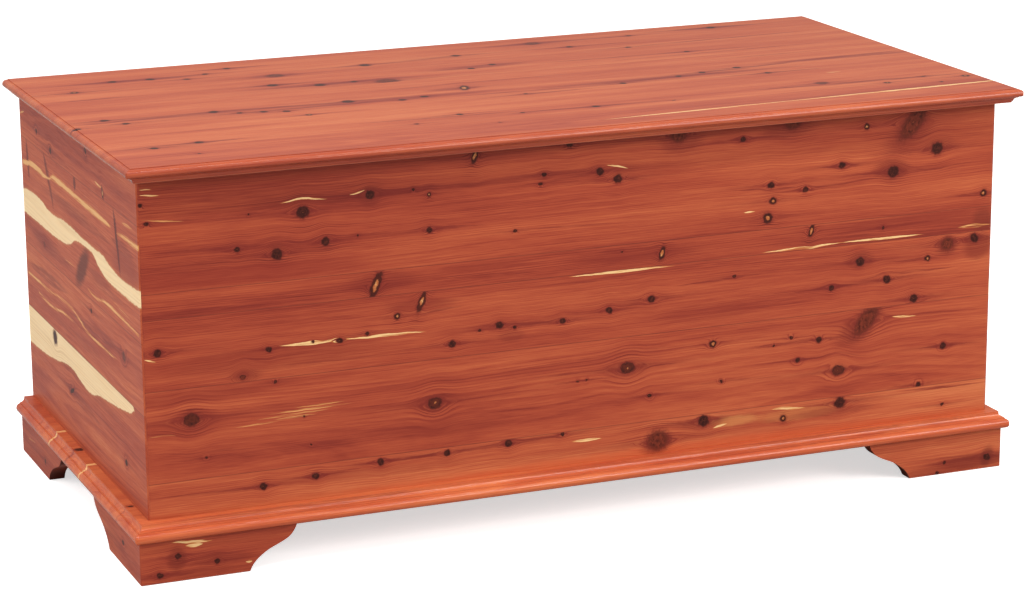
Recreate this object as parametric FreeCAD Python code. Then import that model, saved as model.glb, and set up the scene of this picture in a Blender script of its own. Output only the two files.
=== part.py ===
import FreeCAD, Part
import math
import os

from FreeCAD import Vector as V

# ---------------------------------------------------------------------------
# Aromatic red cedar blanket chest: glued-up board panels with mitred corners,
# an overhanging lid on two butt hinges with two slotted lid stays, a moulded
# base panel and four ogee bracket feet.
# Working frame: x along the front (0 = middle), y = 0 at the front face of
# the carcass and positive to the back, z = 0 on the floor.  Everything is
# shifted in y at the end so that the origin is the bottom centre of the box.
# ---------------------------------------------------------------------------
os.makedirs("parts", exist_ok=True)

# carcass
BODY_W = 1100.0          # outside width over the end panels
BODY_D = 550.0           # outside depth, front face to back face
WALL_T = 19.0            # three-quarter inch boards
CORNER_EASE = 2.8        # chamfer on the four upright corners
RIM_EASE = 1.0           # chamfer on the top rim

# heights
FOOT_H = 52.0
BASE_T = 21.0
WALL_BOT = FOOT_H + BASE_T          # 73
LID_BOT = 474.0
RIM_GAP = 0.6            # lid underside above the rim
WALL_TOP = LID_BOT - RIM_GAP        # 473.4
LID_T = 18.0
LID_TOP = LID_BOT + LID_T           # 492

# glue lines of the panels (heights for upright panels, y for flat ones)
FRONT_SEAMS = [115.6, 225.2, 309.0, 339.6]
LEFT_SEAMS = [197.0, 282.0, 419.3]
RIGHT_SEAMS = [162.0, 268.0, 391.0]
BACK_SEAMS = [181.0, 272.0, 385.0]
LID_SEAMS = [62.0, 198.4, 329.4, 417.0]
BASE_SEAMS = [92.0, 211.0, 334.0, 446.0]

# lid moulding: how far the nose stands out past the carcass
LID_NOSE_FRONT = 33.0
LID_NOSE_SIDE = 20.0
# base moulding
BASE_NOSE = 22.5

# bracket feet
FOOT_T = 20.0
FOOT_OUT_SIDE = 15.5     # outer face past the end panels
FOOT_OUT_FRONT = 13.0    # outer face past the front panel
FOOT_EASE = 1.2
BLOCK = 38.0             # inside corner block

# hinges
HINGE_X = 370.0
HINGE_L = 75.0
LEAF_T = 1.8
LEAF_W = 16.0
KNUCKLE_R = 3.5
PIN_R = 1.75
RUN_CLEAR = 0.05
AXIS_Y = BODY_D + 3.9
AXIS_Z = LID_BOT - RIM_GAP / 2.0    # 473.7

# lid stays: the lid pivot and the wall stud are the same distance from the
# hinge axis, so the arm turns exactly half as fast as the lid
STAY_R = 120.0
STAY_PIVOT_DEG = 6.0     # lid pivot below the horizontal, lid shut
STAY_SPREAD_DEG = 20.0   # angle between pivot and stud, lid shut
LID_OPEN_DEG = 95.0
ARM_W = 14.0
ARM_T = 2.0
STUD_R = 2.5

# lid battens
BATTEN_X = 300.0
BATTEN_W = 45.0
BATTEN_T = 18.0
BATTEN_Y0 = 55.0
BATTEN_Y1 = 470.0

Y_FRONT = -LID_NOSE_FRONT
Y_BACK = AXIS_Y + KNUCKLE_R
Y_SHIFT = -(Y_FRONT + Y_BACK) / 2.0

INNER_X = BODY_W / 2.0 - WALL_T     # 531
HX = BODY_W / 2.0
BIG = 3000.0


# ------------------------------------------------------------------ helpers
def box(x0, x1, y0, y1, z0, z1):
    return Part.makeBox(x1 - x0, y1 - y0, z1 - z0, V(x0, y0, z0))


def cyl(r, h, at, d):
    return Part.makeCylinder(r, h, at, d)


def path_wire(segs, place):
    """segs: start point, then ("L", end) or ("A", mid, end) in 2D."""
    edges = []
    cur = segs[0]
    for s in segs[1:]:
        if s[0] == "L":
            end = s[1]
            edges.append(Part.LineSegment(place(cur), place(end)).toShape())
        else:
            end = s[2]
            edges.append(Part.Arc(place(cur), place(s[1]), place(end)).toShape())
        cur = end
    return Part.Wire(edges)


def arc_mid(cx, cz, r, deg):
    a = math.radians(deg)
    return (cx + r * math.cos(a), cz + r * math.sin(a))


def polygon_prism(points, d):
    w = Part.makePolygon([V(*p) for p in points] + [V(*points[0])])
    return Part.Face(w).extrude(d)


def mirror_x(shape):
    return shape.mirror(V(0, 0, 0), V(1, 0, 0))


def solid_of(shape):
    s = shape.removeSplitter()
    if len(s.Solids) != 1:
        raise ValueError("expected one solid, got %d" % len(s.Solids))
    return s.Solids[0]


def screw(at, d, length, r_head=3.6, r=1.6, head_h=2.2):
    """Countersunk wood screw: at is the middle of the head's flat face."""
    d = V(d)
    d.normalize()
    cone = Part.makeCone(r_head, r, head_h, at, d)
    shank = cyl(r, length - head_h - 3.0, at + d * head_h, d)
    tip = Part.makeCone(r, 0.35, 3.0, at + d * (length - 3.0), d)
    body = cone.fuse(shank).fuse(tip).removeSplitter()
    # straight driving slot
    side = V(0, 0, 1).cross(d)
    if side.Length < 0.1:
        side = V(1, 0, 0)
    side.normalize()
    other = d.cross(side)
    w, l, h = 0.9, r_head * 2.4, 1.0
    p0 = at - side * (l / 2) - other * (w / 2) - d * 0.01
    slot = polygon_prism(
        [tuple(p0), tuple(p0 + side * l), tuple(p0 + side * l + other * w),
         tuple(p0 + other * w)], d * h)
    return solid_of(body.cut(slot)), solid_of(body)


nodes = {}          # name -> list of solids


def put(name, *solids):
    nodes.setdefault(name, []).extend(solids)


def cut_many(shape, tools):
    bb = shape.BoundBox
    near = [t for t in tools if bb.intersect(t.BoundBox)]
    if near:
        shape = shape.cut(near)
    return shape


# ------------------------------------------------------------- fasteners
wall_tools = []      # what is cut out of the carcass boards
lid_tools = []
base_tools = []
batten_tools = []

base_screws = []
for sx in (-320, -110, 110, 320):
    for sy in (WALL_T / 2, BODY_D - WALL_T / 2):
        base_screws.append(screw(V(sx, sy, FOOT_H), V(0, 0, 1), 45.0, 4.2, 2.0, 2.6))
for sx in (-(HX - WALL_T / 2), HX - WALL_T / 2):
    for sy in (238.0, 306.0):
        base_screws.append(screw(V(sx, sy, FOOT_H), V(0, 0, 1), 45.0, 4.2, 2.0, 2.6))
put("base_screws", *[s[0] for s in base_screws])
wall_tools += [s[1] for s in base_screws]
base_tools += [s[1] for s in base_screws]

batten_screws = []
for sx in (-BATTEN_X, BATTEN_X):
    for sy in (100.0, 262.0, 425.0):
        batten_screws.append(
            screw(V(sx, sy, LID_BOT - BATTEN_T), V(0, 0, 1), 31.0, 4.2, 2.0, 2.6))
put("lid_batten_screws", *[s[0] for s in batten_screws])
lid_tools += [s[1] for s in batten_screws]
batten_tools += [s[1] for s in batten_screws]

hinge_body_screws, hinge_lid_screws = [], []
for sx in (-HINGE_X, HINGE_X):
    for dx in (-26.0, 0.0, 26.0):
        off = -9.5 if dx else -6.5
        hinge_body_screws.append(
            screw(V(sx + dx, BODY_D + off, WALL_TOP), V(0, 0, -1), 20.0, 2.9, 1.4, 1.5))
        hinge_lid_screws.append(
            screw(V(sx + dx, BODY_D + off, LID_BOT), V(0, 0, 1), 14.0, 2.9, 1.4, 1.5))
put("hinge_screws_carcass", *[s[0] for s in hinge_body_screws])
put("hinge_screws_lid", *[s[0] for s in hinge_lid_screws])
wall_tools += [s[1] for s in hinge_body_screws]
lid_tools += [s[1] for s in hinge_lid_screws]

# ---------------------------------------------------------------- hinges
gap = 0.4
n_kn = 5
kn_l = (HINGE_L - gap * (n_kn - 1)) / n_kn
for side, name in ((-1, "left"), (1, "right")):
    x0 = side * HINGE_X - HINGE_L / 2
    body_leaf = box(x0, x0 + HINGE_L, BODY_D - LEAF_W, BODY_D + 0.2,
                    WALL_TOP - LEAF_T, WALL_TOP)
    lid_leaf = box(x0, x0 + HINGE_L, BODY_D - LEAF_W, BODY_D + 0.2,
                   LID_BOT, LID_BOT + LEAF_T)
    # round the two inner corners of each leaf
    for i in range(n_kn):
        a = x0 + i * (kn_l + gap)
        k = cyl(KNUCKLE_R, kn_l, V(a, AXIS_Y, AXIS_Z), V(1, 0, 0))
        if i % 2 == 0:
            br = box(a, a + kn_l, BODY_D - 1, AXIS_Y, WALL_TOP - LEAF_T, WALL_TOP)
            body_leaf = body_leaf.fuse([k, br])
        else:
            br = box(a, a + kn_l, BODY_D - 1, AXIS_Y, LID_BOT, LID_BOT + LEAF_T)
            lid_leaf = lid_leaf.fuse([k, br])
    bore_b = cyl(PIN_R, HINGE_L + 20, V(x0 - 10, AXIS_Y, AXIS_Z), V(1, 0, 0))
    bore_l = cyl(PIN_R + RUN_CLEAR, HINGE_L + 20, V(x0 - 10, AXIS_Y, AXIS_Z), V(1, 0, 0))
    body_leaf = body_leaf.cut([bore_b] + [s[1] for s in hinge_body_screws])
    lid_leaf = lid_leaf.cut([bore_l] + [s[1] for s in hinge_lid_screws])
    put(name + "_hinge_carcass_leaf", solid_of(body_leaf))
    put(name + "_hinge_lid_leaf", solid_of(lid_leaf))
    pin = cyl(PIN_R, HINGE_L, V(x0, AXIS_Y, AXIS_Z), V(1, 0, 0))
    for ex, d in ((x0, -1), (x0 + HINGE_L, 1)):
        head = cyl(2.5, 0.9, V(ex, AXIS_Y, AXIS_Z), V(d, 0, 0))
        dome = Part.makeCone(2.5, 1.5, 0.7, V(ex + d * 0.9, AXIS_Y, AXIS_Z), V(d, 0, 0))
        pin = pin.fuse([head, dome])
    put(name + "_hinge_pin", solid_of(pin))
    # mortises, square cornered, let in flush
    m_b = box(x0, x0 + HINGE_L, BODY_D - LEAF_W, BODY_D + 1, WALL_TOP - LEAF_T, WALL_TOP + 1)
    m_l = box(x0, x0 + HINGE_L, BODY_D - LEAF_W, BODY_D + 1, LID_BOT - 1, LID_BOT + LEAF_T)
    wall_tools.append(m_b)
    lid_tools.append(m_l)

# -------------------------------------------------------------- lid stays
a_b = math.radians(STAY_PIVOT_DEG)
a_p = math.radians(STAY_PIVOT_DEG + STAY_SPREAD_DEG)
PB = (AXIS_Y - STAY_R * math.cos(a_b), AXIS_Z - STAY_R * math.sin(a_b))
PP = (AXIS_Y - STAY_R * math.cos(a_p), AXIS_Z - STAY_R * math.sin(a_p))
reach0 = 2 * STAY_R * math.sin(math.radians(STAY_SPREAD_DEG) / 2)
reach1 = 2 * STAY_R * math.sin(math.radians(STAY_SPREAD_DEG + LID_OPEN_DEG) / 2)
uy, uz = (PP[0] - PB[0]) / reach0, (PP[1] - PB[1]) / reach0
ny, nz = -uz, uy
print("stay: lid pivot y,z", PB, "stud y,z", PP, "reach", reach0, reach1)

stay_body_screws, stay_lid_screws = [], []


def stay_set(side):
    """Builds one stay on the +x side, then mirrors it for the -x side."""
    def pt(x, s, w):
        return V(x, PB[0] + uy * s + ny * w, PB[1] + uz * s + nz * w)

    fx = INNER_X                      # inner face of the end panel
    # arm: flat bar with round ends, pivot hole and long slot
    x_arm = fx - 4.5                  # inner surface of the arm
    end = reach1 + 9.0
    h = ARM_W / 2

    def bar(s0, s1, hw, xa, t):
        n = V(1, 0, 0)
        e1 = Part.LineSegment(pt(xa, s0, hw), pt(xa, s1, hw)).toShape()
        e2 = Part.Arc(pt(xa, s1, hw), pt(xa, s1 + hw, 0), pt(xa, s1, -hw)).toShape()
        e3 = Part.LineSegment(pt(xa, s1, -hw), pt(xa, s0, -hw)).toShape()
        e4 = Part.Arc(pt(xa, s0, -hw), pt(xa, s0 - hw, 0), pt(xa, s0, hw)).toShape()
        return Part.Face(Part.Wire([e1, e2, e3, e4])).extrude(n * t)

    arm = bar(0.0, end, h, x_arm, ARM_T)
    slot = bar(reach0 - 0.6, reach1 + 0.6, STUD_R + 0.3, x_arm - 1, ARM_T + 2)
    hole = cyl(STUD_R + RUN_CLEAR, ARM_T + 2, V(x_arm - 1, PB[0], PB[1]), V(1, 0, 0))
    arm = solid_of(arm.cut([slot, hole]))

    # wall stud: screwed plate, shouldered stud, round head
    plate = box(fx - 2, fx, PP[0] - 21, PP[0] + 21, PP[1] - 8, PP[1] + 8)
    vert = [e for e in plate.Edges if abs(e.Vertexes[0].X - e.Vertexes[1].X) > 1.5]
    plate = plate.makeFillet(5.0, vert)
    stud = cyl(STUD_R, 3.0, V(fx - 5, PP[0], PP[1]), V(1, 0, 0))
    shoulder = cyl(4.2, 0.2, V(fx - 2.2, PP[0], PP[1]), V(1, 0, 0))
    head = cyl(5.0, 1.6, V(fx - 6.6, PP[0], PP[1]), V(1, 0, 0))
    ring = [e for e in head.Edges if abs(e.BoundBox.XMax - (fx - 6.6)) < 1e-6
            and len(e.Vertexes) == 1]
    head = head.makeFillet(0.8, ring)
    stud = plate.fuse([stud, shoulder, head])
    sc = [screw(V(fx - 2, PP[0] + dy, PP[1]), V(1, 0, 0), 15.0, 2.9, 1.4, 1.5)
          for dy in (-14.0, 14.0)]
    stud = solid_of(stud.cut([s[1] for s in sc]))

    # lid bracket: flange under the lid, rounded ear down to the pivot
    ear_x0, ear_x1 = fx - 7.0, fx - 5.0
    ear = box(ear_x0, ear_x1, PB[0] - 9, PB[0] + 9, PB[1], LID_BOT)
    ear = ear.fuse(cyl(9.0, 2.0, V(ear_x0, PB[0], PB[1]), V(1, 0, 0)))
    flange = box(fx - 34, ear_x1, PB[0] - 18, PB[0] + 18, LID_BOT - 2, LID_BOT)
    fv = [e for e in flange.Edges if abs(e.Vertexes[0].Z - e.Vertexes[1].Z) > 1.5
          and e.Vertexes[0].X < fx - 20]
    flange = flange.makeFillet(5.0, fv)
    bracket = ear.fuse(flange)
    lsc = [screw(V(fx - 20, PB[0] + dy, LID_BOT - 2), V(0, 0, 1), 14.0, 2.9, 1.4, 1.5)
           for dy in (-11.0, 11.0)]
    bracket = bracket.cut([s[1] for s in lsc])
    # pivot rivet: tight in the ear, running in the arm
    riv = cyl(STUD_R, 4.5, V(ear_x0, PB[0], PB[1]), V(1, 0, 0))
    bracket = solid_of(bracket.cut(riv))
    h_out = cyl(4.4, 1.2, V(fx - 2.2, PB[0], PB[1]), V(1, 0, 0))
    shank = cyl(STUD_R, 4.8, V(ear_x0, PB[0], PB[1]), V(1, 0, 0))
    h_in = cyl(4.4, 1.4, V(ear_x0 - 1.4, PB[0], PB[1]), V(1, 0, 0))
    ring = [e for e in h_in.Edges if abs(e.BoundBox.XMax - (ear_x0 - 1.4)) < 1e-6
            and len(e.Vertexes) == 1]
    h_in = h_in.makeFillet(0.8, ring)
    rivet = solid_of(shank.fuse([h_out, h_in]))

    out = [arm, stud, bracket, rivet] + [s[0] for s in sc] + [s[0] for s in lsc]
    tools = [s[1] for s in sc], [s[1] for s in lsc]
    if side < 0:
        out = [mirror_x(o) for o in out]
        tools = [mirror_x(t) for t in tools[0]], [mirror_x(t) for t in tools[1]]
    return out, tools


for side, name in ((-1, "left"), (1, "right")):
    out, tools = stay_set(side)
    put(name + "_stay_arm", out[0])
    put(name + "_stay_wall_stud", out[1])
    put(name + "_stay_lid_bracket", out[2])
    put(name + "_stay_rivet", out[3])
    put("stay_screws_carcass", *out[4:6])
    put("stay_screws_lid", *out[6:8])
    wall_tools += tools[0]
    lid_tools += tools[1]

# ----------------------------------------------------------------- carcass
c = CORNER_EASE
t = WALL_T


def front_block(z0, z1):
    p = [(-HX + c, 0, z0), (HX - c, 0, z0), (HX - c / 2, c / 2, z0),
         (HX - t, t, z0), (-HX + t, t, z0), (-HX + c / 2, c / 2, z0)]
    return polygon_prism(p, V(0, 0, z1 - z0))


def left_block(z0, z1):
    p = [(-HX, c, z0), (-HX + c / 2, c / 2, z0), (-HX + t, t, z0),
         (-HX + t, BODY_D - t, z0), (-HX + c / 2, BODY_D - c / 2, z0),
         (-HX, BODY_D - c, z0)]
    return polygon_prism(p, V(0, 0, z1 - z0))


def back_block(z0, z1):
    return front_block(z0, z1).mirror(V(0, BODY_D / 2, 0), V(0, 1, 0))


def right_block(z0, z1):
    return mirror_x(left_block(z0, z1))


def ease_rim(solid):
    """Chamfer the two long top edges of the uppermost board."""
    es = []
    for e in solid.Edges:
        bb = e.BoundBox
        if bb.ZMin > WALL_TOP - 0.01 and e.Length > 400:
            es.append(e)
    return solid.makeChamfer(RIM_EASE, es)


for label, maker, seams in (("front", front_block, FRONT_SEAMS),
                            ("back", back_block, BACK_SEAMS),
                            ("left_end", left_block, LEFT_SEAMS),
                            ("right_end", right_block, RIGHT_SEAMS)):
    zs = [WALL_BOT] + seams + [WALL_TOP]
    for i in range(len(zs) - 1):
        b = maker(zs[i], zs[i + 1])
        if i == len(zs) - 2:
            b = ease_rim(b)
        b = cut_many(b, wall_tools)
        put("%s_board_%d" % (label, i + 1), solid_of(b))

# --------------------------------------------------------------------- lid
# The routed edge, from the underside up: flat, cove, small fillet, nose
# rounded over the top, and a shallow step where it meets the face.


def lid_edge(nose):
    """2D points (out, up) from the underside to the top face."""
    o = nose - 33.0
    return [
        (22.0 + o, 0.0),
        ("L", (22.0 + o, 2.0)),
        ("L", (23.2 + o, 2.0)),
        ("A", arc_mid(28.0 + o, 2.0, 4.8, 135.0), (28.0 + o, 6.8)),
        ("L", (28.0 + o, 8.0)),
        ("L", (29.4 + o, 8.0)),
        ("A", arc_mid(29.4 + o, 11.6, 3.6, -45.0), (33.0 + o, 11.6)),
        ("A", arc_mid(27.4 + o, 11.6, 5.6, 45.0), (27.4 + o, 17.2)),
        ("L", (25.6 + o, 17.2)),
        ("L", (25.6 + o, 18.0)),
    ]


def slab(profile_front, profile_side, thick, back_ease):
    """A flat panel with the profile on the front and both ends."""
    # section across the front edge, swept along x
    f = profile_front
    start = f[0]
    place = lambda p: V(-BIG / 2, -p[0], p[1])
    yb = BODY_D
    f2 = list(f)
    f2.append(("L", (-(yb - back_ease), thick)))
    f2.append(("L", (-yb, thick - back_ease)))
    f2.append(("L", (-yb, back_ease)))
    f2.append(("L", (-(yb - back_ease), 0.0)))
    f2.append(("L", start))
    w = path_wire(f2, place)
    a = Part.Face(w).extrude(V(BIG, 0, 0))
    # section across the ends, swept along y
    s = profile_side
    place_r = lambda p: V(HX + p[0], -500.0, p[1])
    place_l = lambda p: V(-HX - p[0], -500.0, p[1])
    er = path_wire(s, place_r).Edges
    el = path_wire(s, place_l).Edges
    last = s[-1][-1]
    first = s[0]
    top = Part.LineSegment(place_r(last), place_l(last)).toShape()
    bot = Part.LineSegment(place_l(first), place_r(first)).toShape()
    w2 = Part.Wire(Part.__sortEdges__(er + [top] + el + [bot]))
    b = Part.Face(w2).extrude(V(0, 1500.0, 0))
    return a.common(b)


lid = slab(lid_edge(LID_NOSE_FRONT), lid_edge(LID_NOSE_SIDE), LID_T, 0.8)
lid.translate(V(0, 0, LID_BOT))


def corner_round(panel, nose_x, nose_y, r, z0, z1):
    """Take the sharp front corners off a moulded panel."""
    for s in (-1, 1):
        cx, cy = s * (HX + nose_x - r), -nose_y + r
        sq = box(min(cx, cx + s * (r + 5)), max(cx, cx + s * (r + 5)),
                 cy - r - 5, cy, z0 - 1, z1 + 1)
        rd = cyl(r, z1 - z0 + 2, V(cx, cy, z0 - 1), V(0, 0, 1))
        panel = panel.cut(sq.cut(rd))
    return panel


lid = corner_round(lid, LID_NOSE_SIDE, LID_NOSE_FRONT, 3.0, LID_BOT, LID_TOP)


def split_y(panel, seams, tools, label, z0, z1):
    ys = [-200.0] + seams + [900.0]
    for i in range(len(ys) - 1):
        b = panel.common(box(-900, 900, ys[i], ys[i + 1], z0 - 5, z1 + 5))
        b = cut_many(b, tools)
        put("%s_board_%d" % (label, i + 1), solid_of(b))


split_y(lid, LID_SEAMS, lid_tools, "lid", LID_BOT, LID_TOP)

# battens across the underside, ends bevelled
for side, name in ((-1, "left"), (1, "right")):
    xa = side * BATTEN_X - BATTEN_W / 2
    z0, z1 = LID_BOT - BATTEN_T, LID_BOT
    bev = 10.0
    p = [(xa, BATTEN_Y0, z1), (xa, BATTEN_Y0 + bev, z0), (xa, BATTEN_Y1 - bev, z0),
         (xa, BATTEN_Y1, z1)]
    b = polygon_prism(p, V(BATTEN_W, 0, 0))
    es = [e for e in b.Edges if e.BoundBox.ZMax < z0 + 0.01 and e.Length > 100]
    b = b.makeChamfer(2.5, es)
    put(name + "_lid_batten", solid_of(cut_many(b, batten_tools)))

# -------------------------------------------------------------------- base
# Moulded edge from the underside up: half-round nose, short fillet, cove and
# a flat step at the top face.
nb = BASE_NOSE
base_profile = [
    (nb - 5.2, 0.0),
    ("A", (nb, 6.2), (nb - 5.2, 12.4)),
    ("L", (nb - 4.0 - 1.2, 13.6)),
    ("A", arc_mid(nb - 5.2, 19.4, 5.8, 225.0), (nb - 11.0, 19.4)),
    ("L", (nb - 11.0, BASE_T)),
]
base = slab(base_profile, base_profile, BASE_T, 0.5)
base.translate(V(0, 0, FOOT_H))
base = corner_round(base, BASE_NOSE, BASE_NOSE, 3.0, FOOT_H, FOOT_H + BASE_T)
split_y(base, BASE_SEAMS, base_tools, "base", FOOT_H, WALL_BOT)

# -------------------------------------------------------------------- feet
# Sawn end of the brackets: convex below the base, concave above the floor.
OGEE_FRONT = [(131.0, 0.0), (134.2, 6.8), (139.2, 12.9), (146.4, 18.9),
              (155.6, 24.6), (166.0, 29.2), (175.2, 33.6), (181.8, 38.4),
              (186.0, 43.9), (188.8, 49.6), (189.4, 52.0)]


def stretch(points, bottom, top):
    b0, t0 = points[0][0], points[-1][0]
    return [(bottom + (p[0] - b0) * (top - bottom) / (t0 - b0), p[1]) for p in points]


OGEE_SIDE = stretch(OGEE_FRONT, 137.0, 206.0)
OGEE_BACK_SIDE = stretch(OGEE_FRONT, 136.0, 206.0)


def bracket(points, place, thick_vec):
    """Bracket blank: straight outer end at 0, floor, ogee, top."""
    curve = Part.BSplineCurve()
    curve.interpolate([place(p) for p in points])
    e = [Part.LineSegment(place((0, 0)), place(points[0])).toShape(),
         curve.toShape(),
         Part.LineSegment(place(points[-1]), place((0, FOOT_H))).toShape(),
         Part.LineSegment(place((0, FOOT_H)), place((0, 0))).toShape()]
    return Part.Face(Part.Wire(e)).extrude(thick_vec)


X0 = -HX - FOOT_OUT_SIDE       # outer face of the left side pieces
Y0 = -FOOT_OUT_FRONT           # outer face of the front pieces
ft = FOOT_T
e_ = FOOT_EASE

front_piece = bracket(OGEE_FRONT, lambda p: V(X0 + p[0], Y0, p[1]), V(0, ft, 0))
side_piece = bracket(OGEE_SIDE, lambda p: V(X0, Y0 + p[0], p[1]), V(ft, 0, 0))
# 45 degree mitre through the outer corner
mitre = polygon_prism([(X0 - 40, Y0 - 40, -5), (X0 + 60, Y0 + 60, -5),
                       (X0 - 40, Y0 + 60, -5)], V(0, 0, 100))
mitre2 = polygon_prism([(X0 - 40, Y0 - 40, -5), (X0 + 60, Y0 - 40, -5),
                        (X0 + 60, Y0 + 60, -5)], V(0, 0, 100))
front_piece = front_piece.cut(mitre)
side_piece = side_piece.cut(mitre2)
ease = polygon_prism([(X0 - 5, Y0 - 5, -5), (X0 + e_, Y0 - 5, -5), (X0 + e_, Y0, -5),
                      (X0, Y0 + e_, -5), (X0 - 5, Y0 + e_, -5)], V(0, 0, 100))
front_piece = solid_of(front_piece.cut(ease))
side_piece = solid_of(side_piece.cut(ease))

back_side = bracket(OGEE_BACK_SIDE, lambda p: V(X0, BODY_D - p[0], p[1]), V(ft, 0, 0))
back_side = solid_of(back_side)
OGEE_BACK = stretch(OGEE_FRONT, 131.0 - ft, 189.0 - ft)
back_piece = solid_of(bracket(OGEE_BACK, lambda p: V(X0 + ft + p[0], BODY_D, p[1]),
                              V(0, -ft, 0)))


def ease_floor(solid):
    """Small chamfer on the long edges that meet the floor."""
    es = []
    for e in solid.Edges:
        bb = e.BoundBox
        if bb.ZMax < 0.01 and e.Length > 60:
            es.append(e)
    return solid.makeChamfer(0.8, es)


front_piece = ease_floor(front_piece)
side_piece = ease_floor(side_piece)
back_side = ease_floor(back_side)
back_piece = ease_floor(back_piece)

put("front_left_foot_front", front_piece)
put("front_left_foot_side", side_piece)
put("back_left_foot_side", back_side)
put("back_left_foot_back", back_piece)
put("front_right_foot_front", mirror_x(front_piece))
put("front_right_foot_side", mirror_x(side_piece))
put("back_right_foot_side", mirror_x(back_side))
put("back_right_foot_back", mirror_x(back_piece))

# corner blocks glued inside each foot, a little short of the floor
bx0, bx1 = X0 + ft, X0 + ft + BLOCK
for (ya, yb_) in ((Y0 + ft, Y0 + ft + BLOCK), (BODY_D - ft - BLOCK, BODY_D - ft)):
    blk = box(bx0, bx1, ya, yb_, 3.0, FOOT_H)
    put("foot_corner_blocks", blk, mirror_x(blk))

# ------------------------------------------------------------------ export
total = 0
for name in sorted(nodes):
    solids = nodes[name]
    moved = []
    for s in solids:
        s = s.copy()
        s.translate(V(0, Y_SHIFT, 0))
        if not s.isValid() or s.Volume <= 0:
            raise ValueError("bad solid in " + name)
        moved.append(s)
    shape = moved[0] if len(moved) == 1 else Part.makeCompound(moved)
    shape.exportStep("parts/%s.step" % name)
    total += 1
print("nodes", total, "y shift", Y_SHIFT)
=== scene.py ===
import math
import random

import bpy
from mathutils import Matrix, Vector


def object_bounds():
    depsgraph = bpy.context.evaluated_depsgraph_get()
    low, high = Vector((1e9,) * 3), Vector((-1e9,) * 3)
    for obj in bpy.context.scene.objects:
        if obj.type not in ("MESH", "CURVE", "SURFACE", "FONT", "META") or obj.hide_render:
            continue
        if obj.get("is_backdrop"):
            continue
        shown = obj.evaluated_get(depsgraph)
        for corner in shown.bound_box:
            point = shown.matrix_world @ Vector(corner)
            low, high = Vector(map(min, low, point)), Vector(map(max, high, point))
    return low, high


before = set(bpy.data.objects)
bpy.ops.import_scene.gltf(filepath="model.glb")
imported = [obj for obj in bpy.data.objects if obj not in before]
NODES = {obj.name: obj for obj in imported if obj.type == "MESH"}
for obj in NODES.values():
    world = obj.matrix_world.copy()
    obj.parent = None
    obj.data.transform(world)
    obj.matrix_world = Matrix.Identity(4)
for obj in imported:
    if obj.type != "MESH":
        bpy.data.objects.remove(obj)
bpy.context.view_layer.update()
Y0 = 262.2          # millimetres from the carcass front face to the frame's origin

# ============================================================ node helpers


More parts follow.
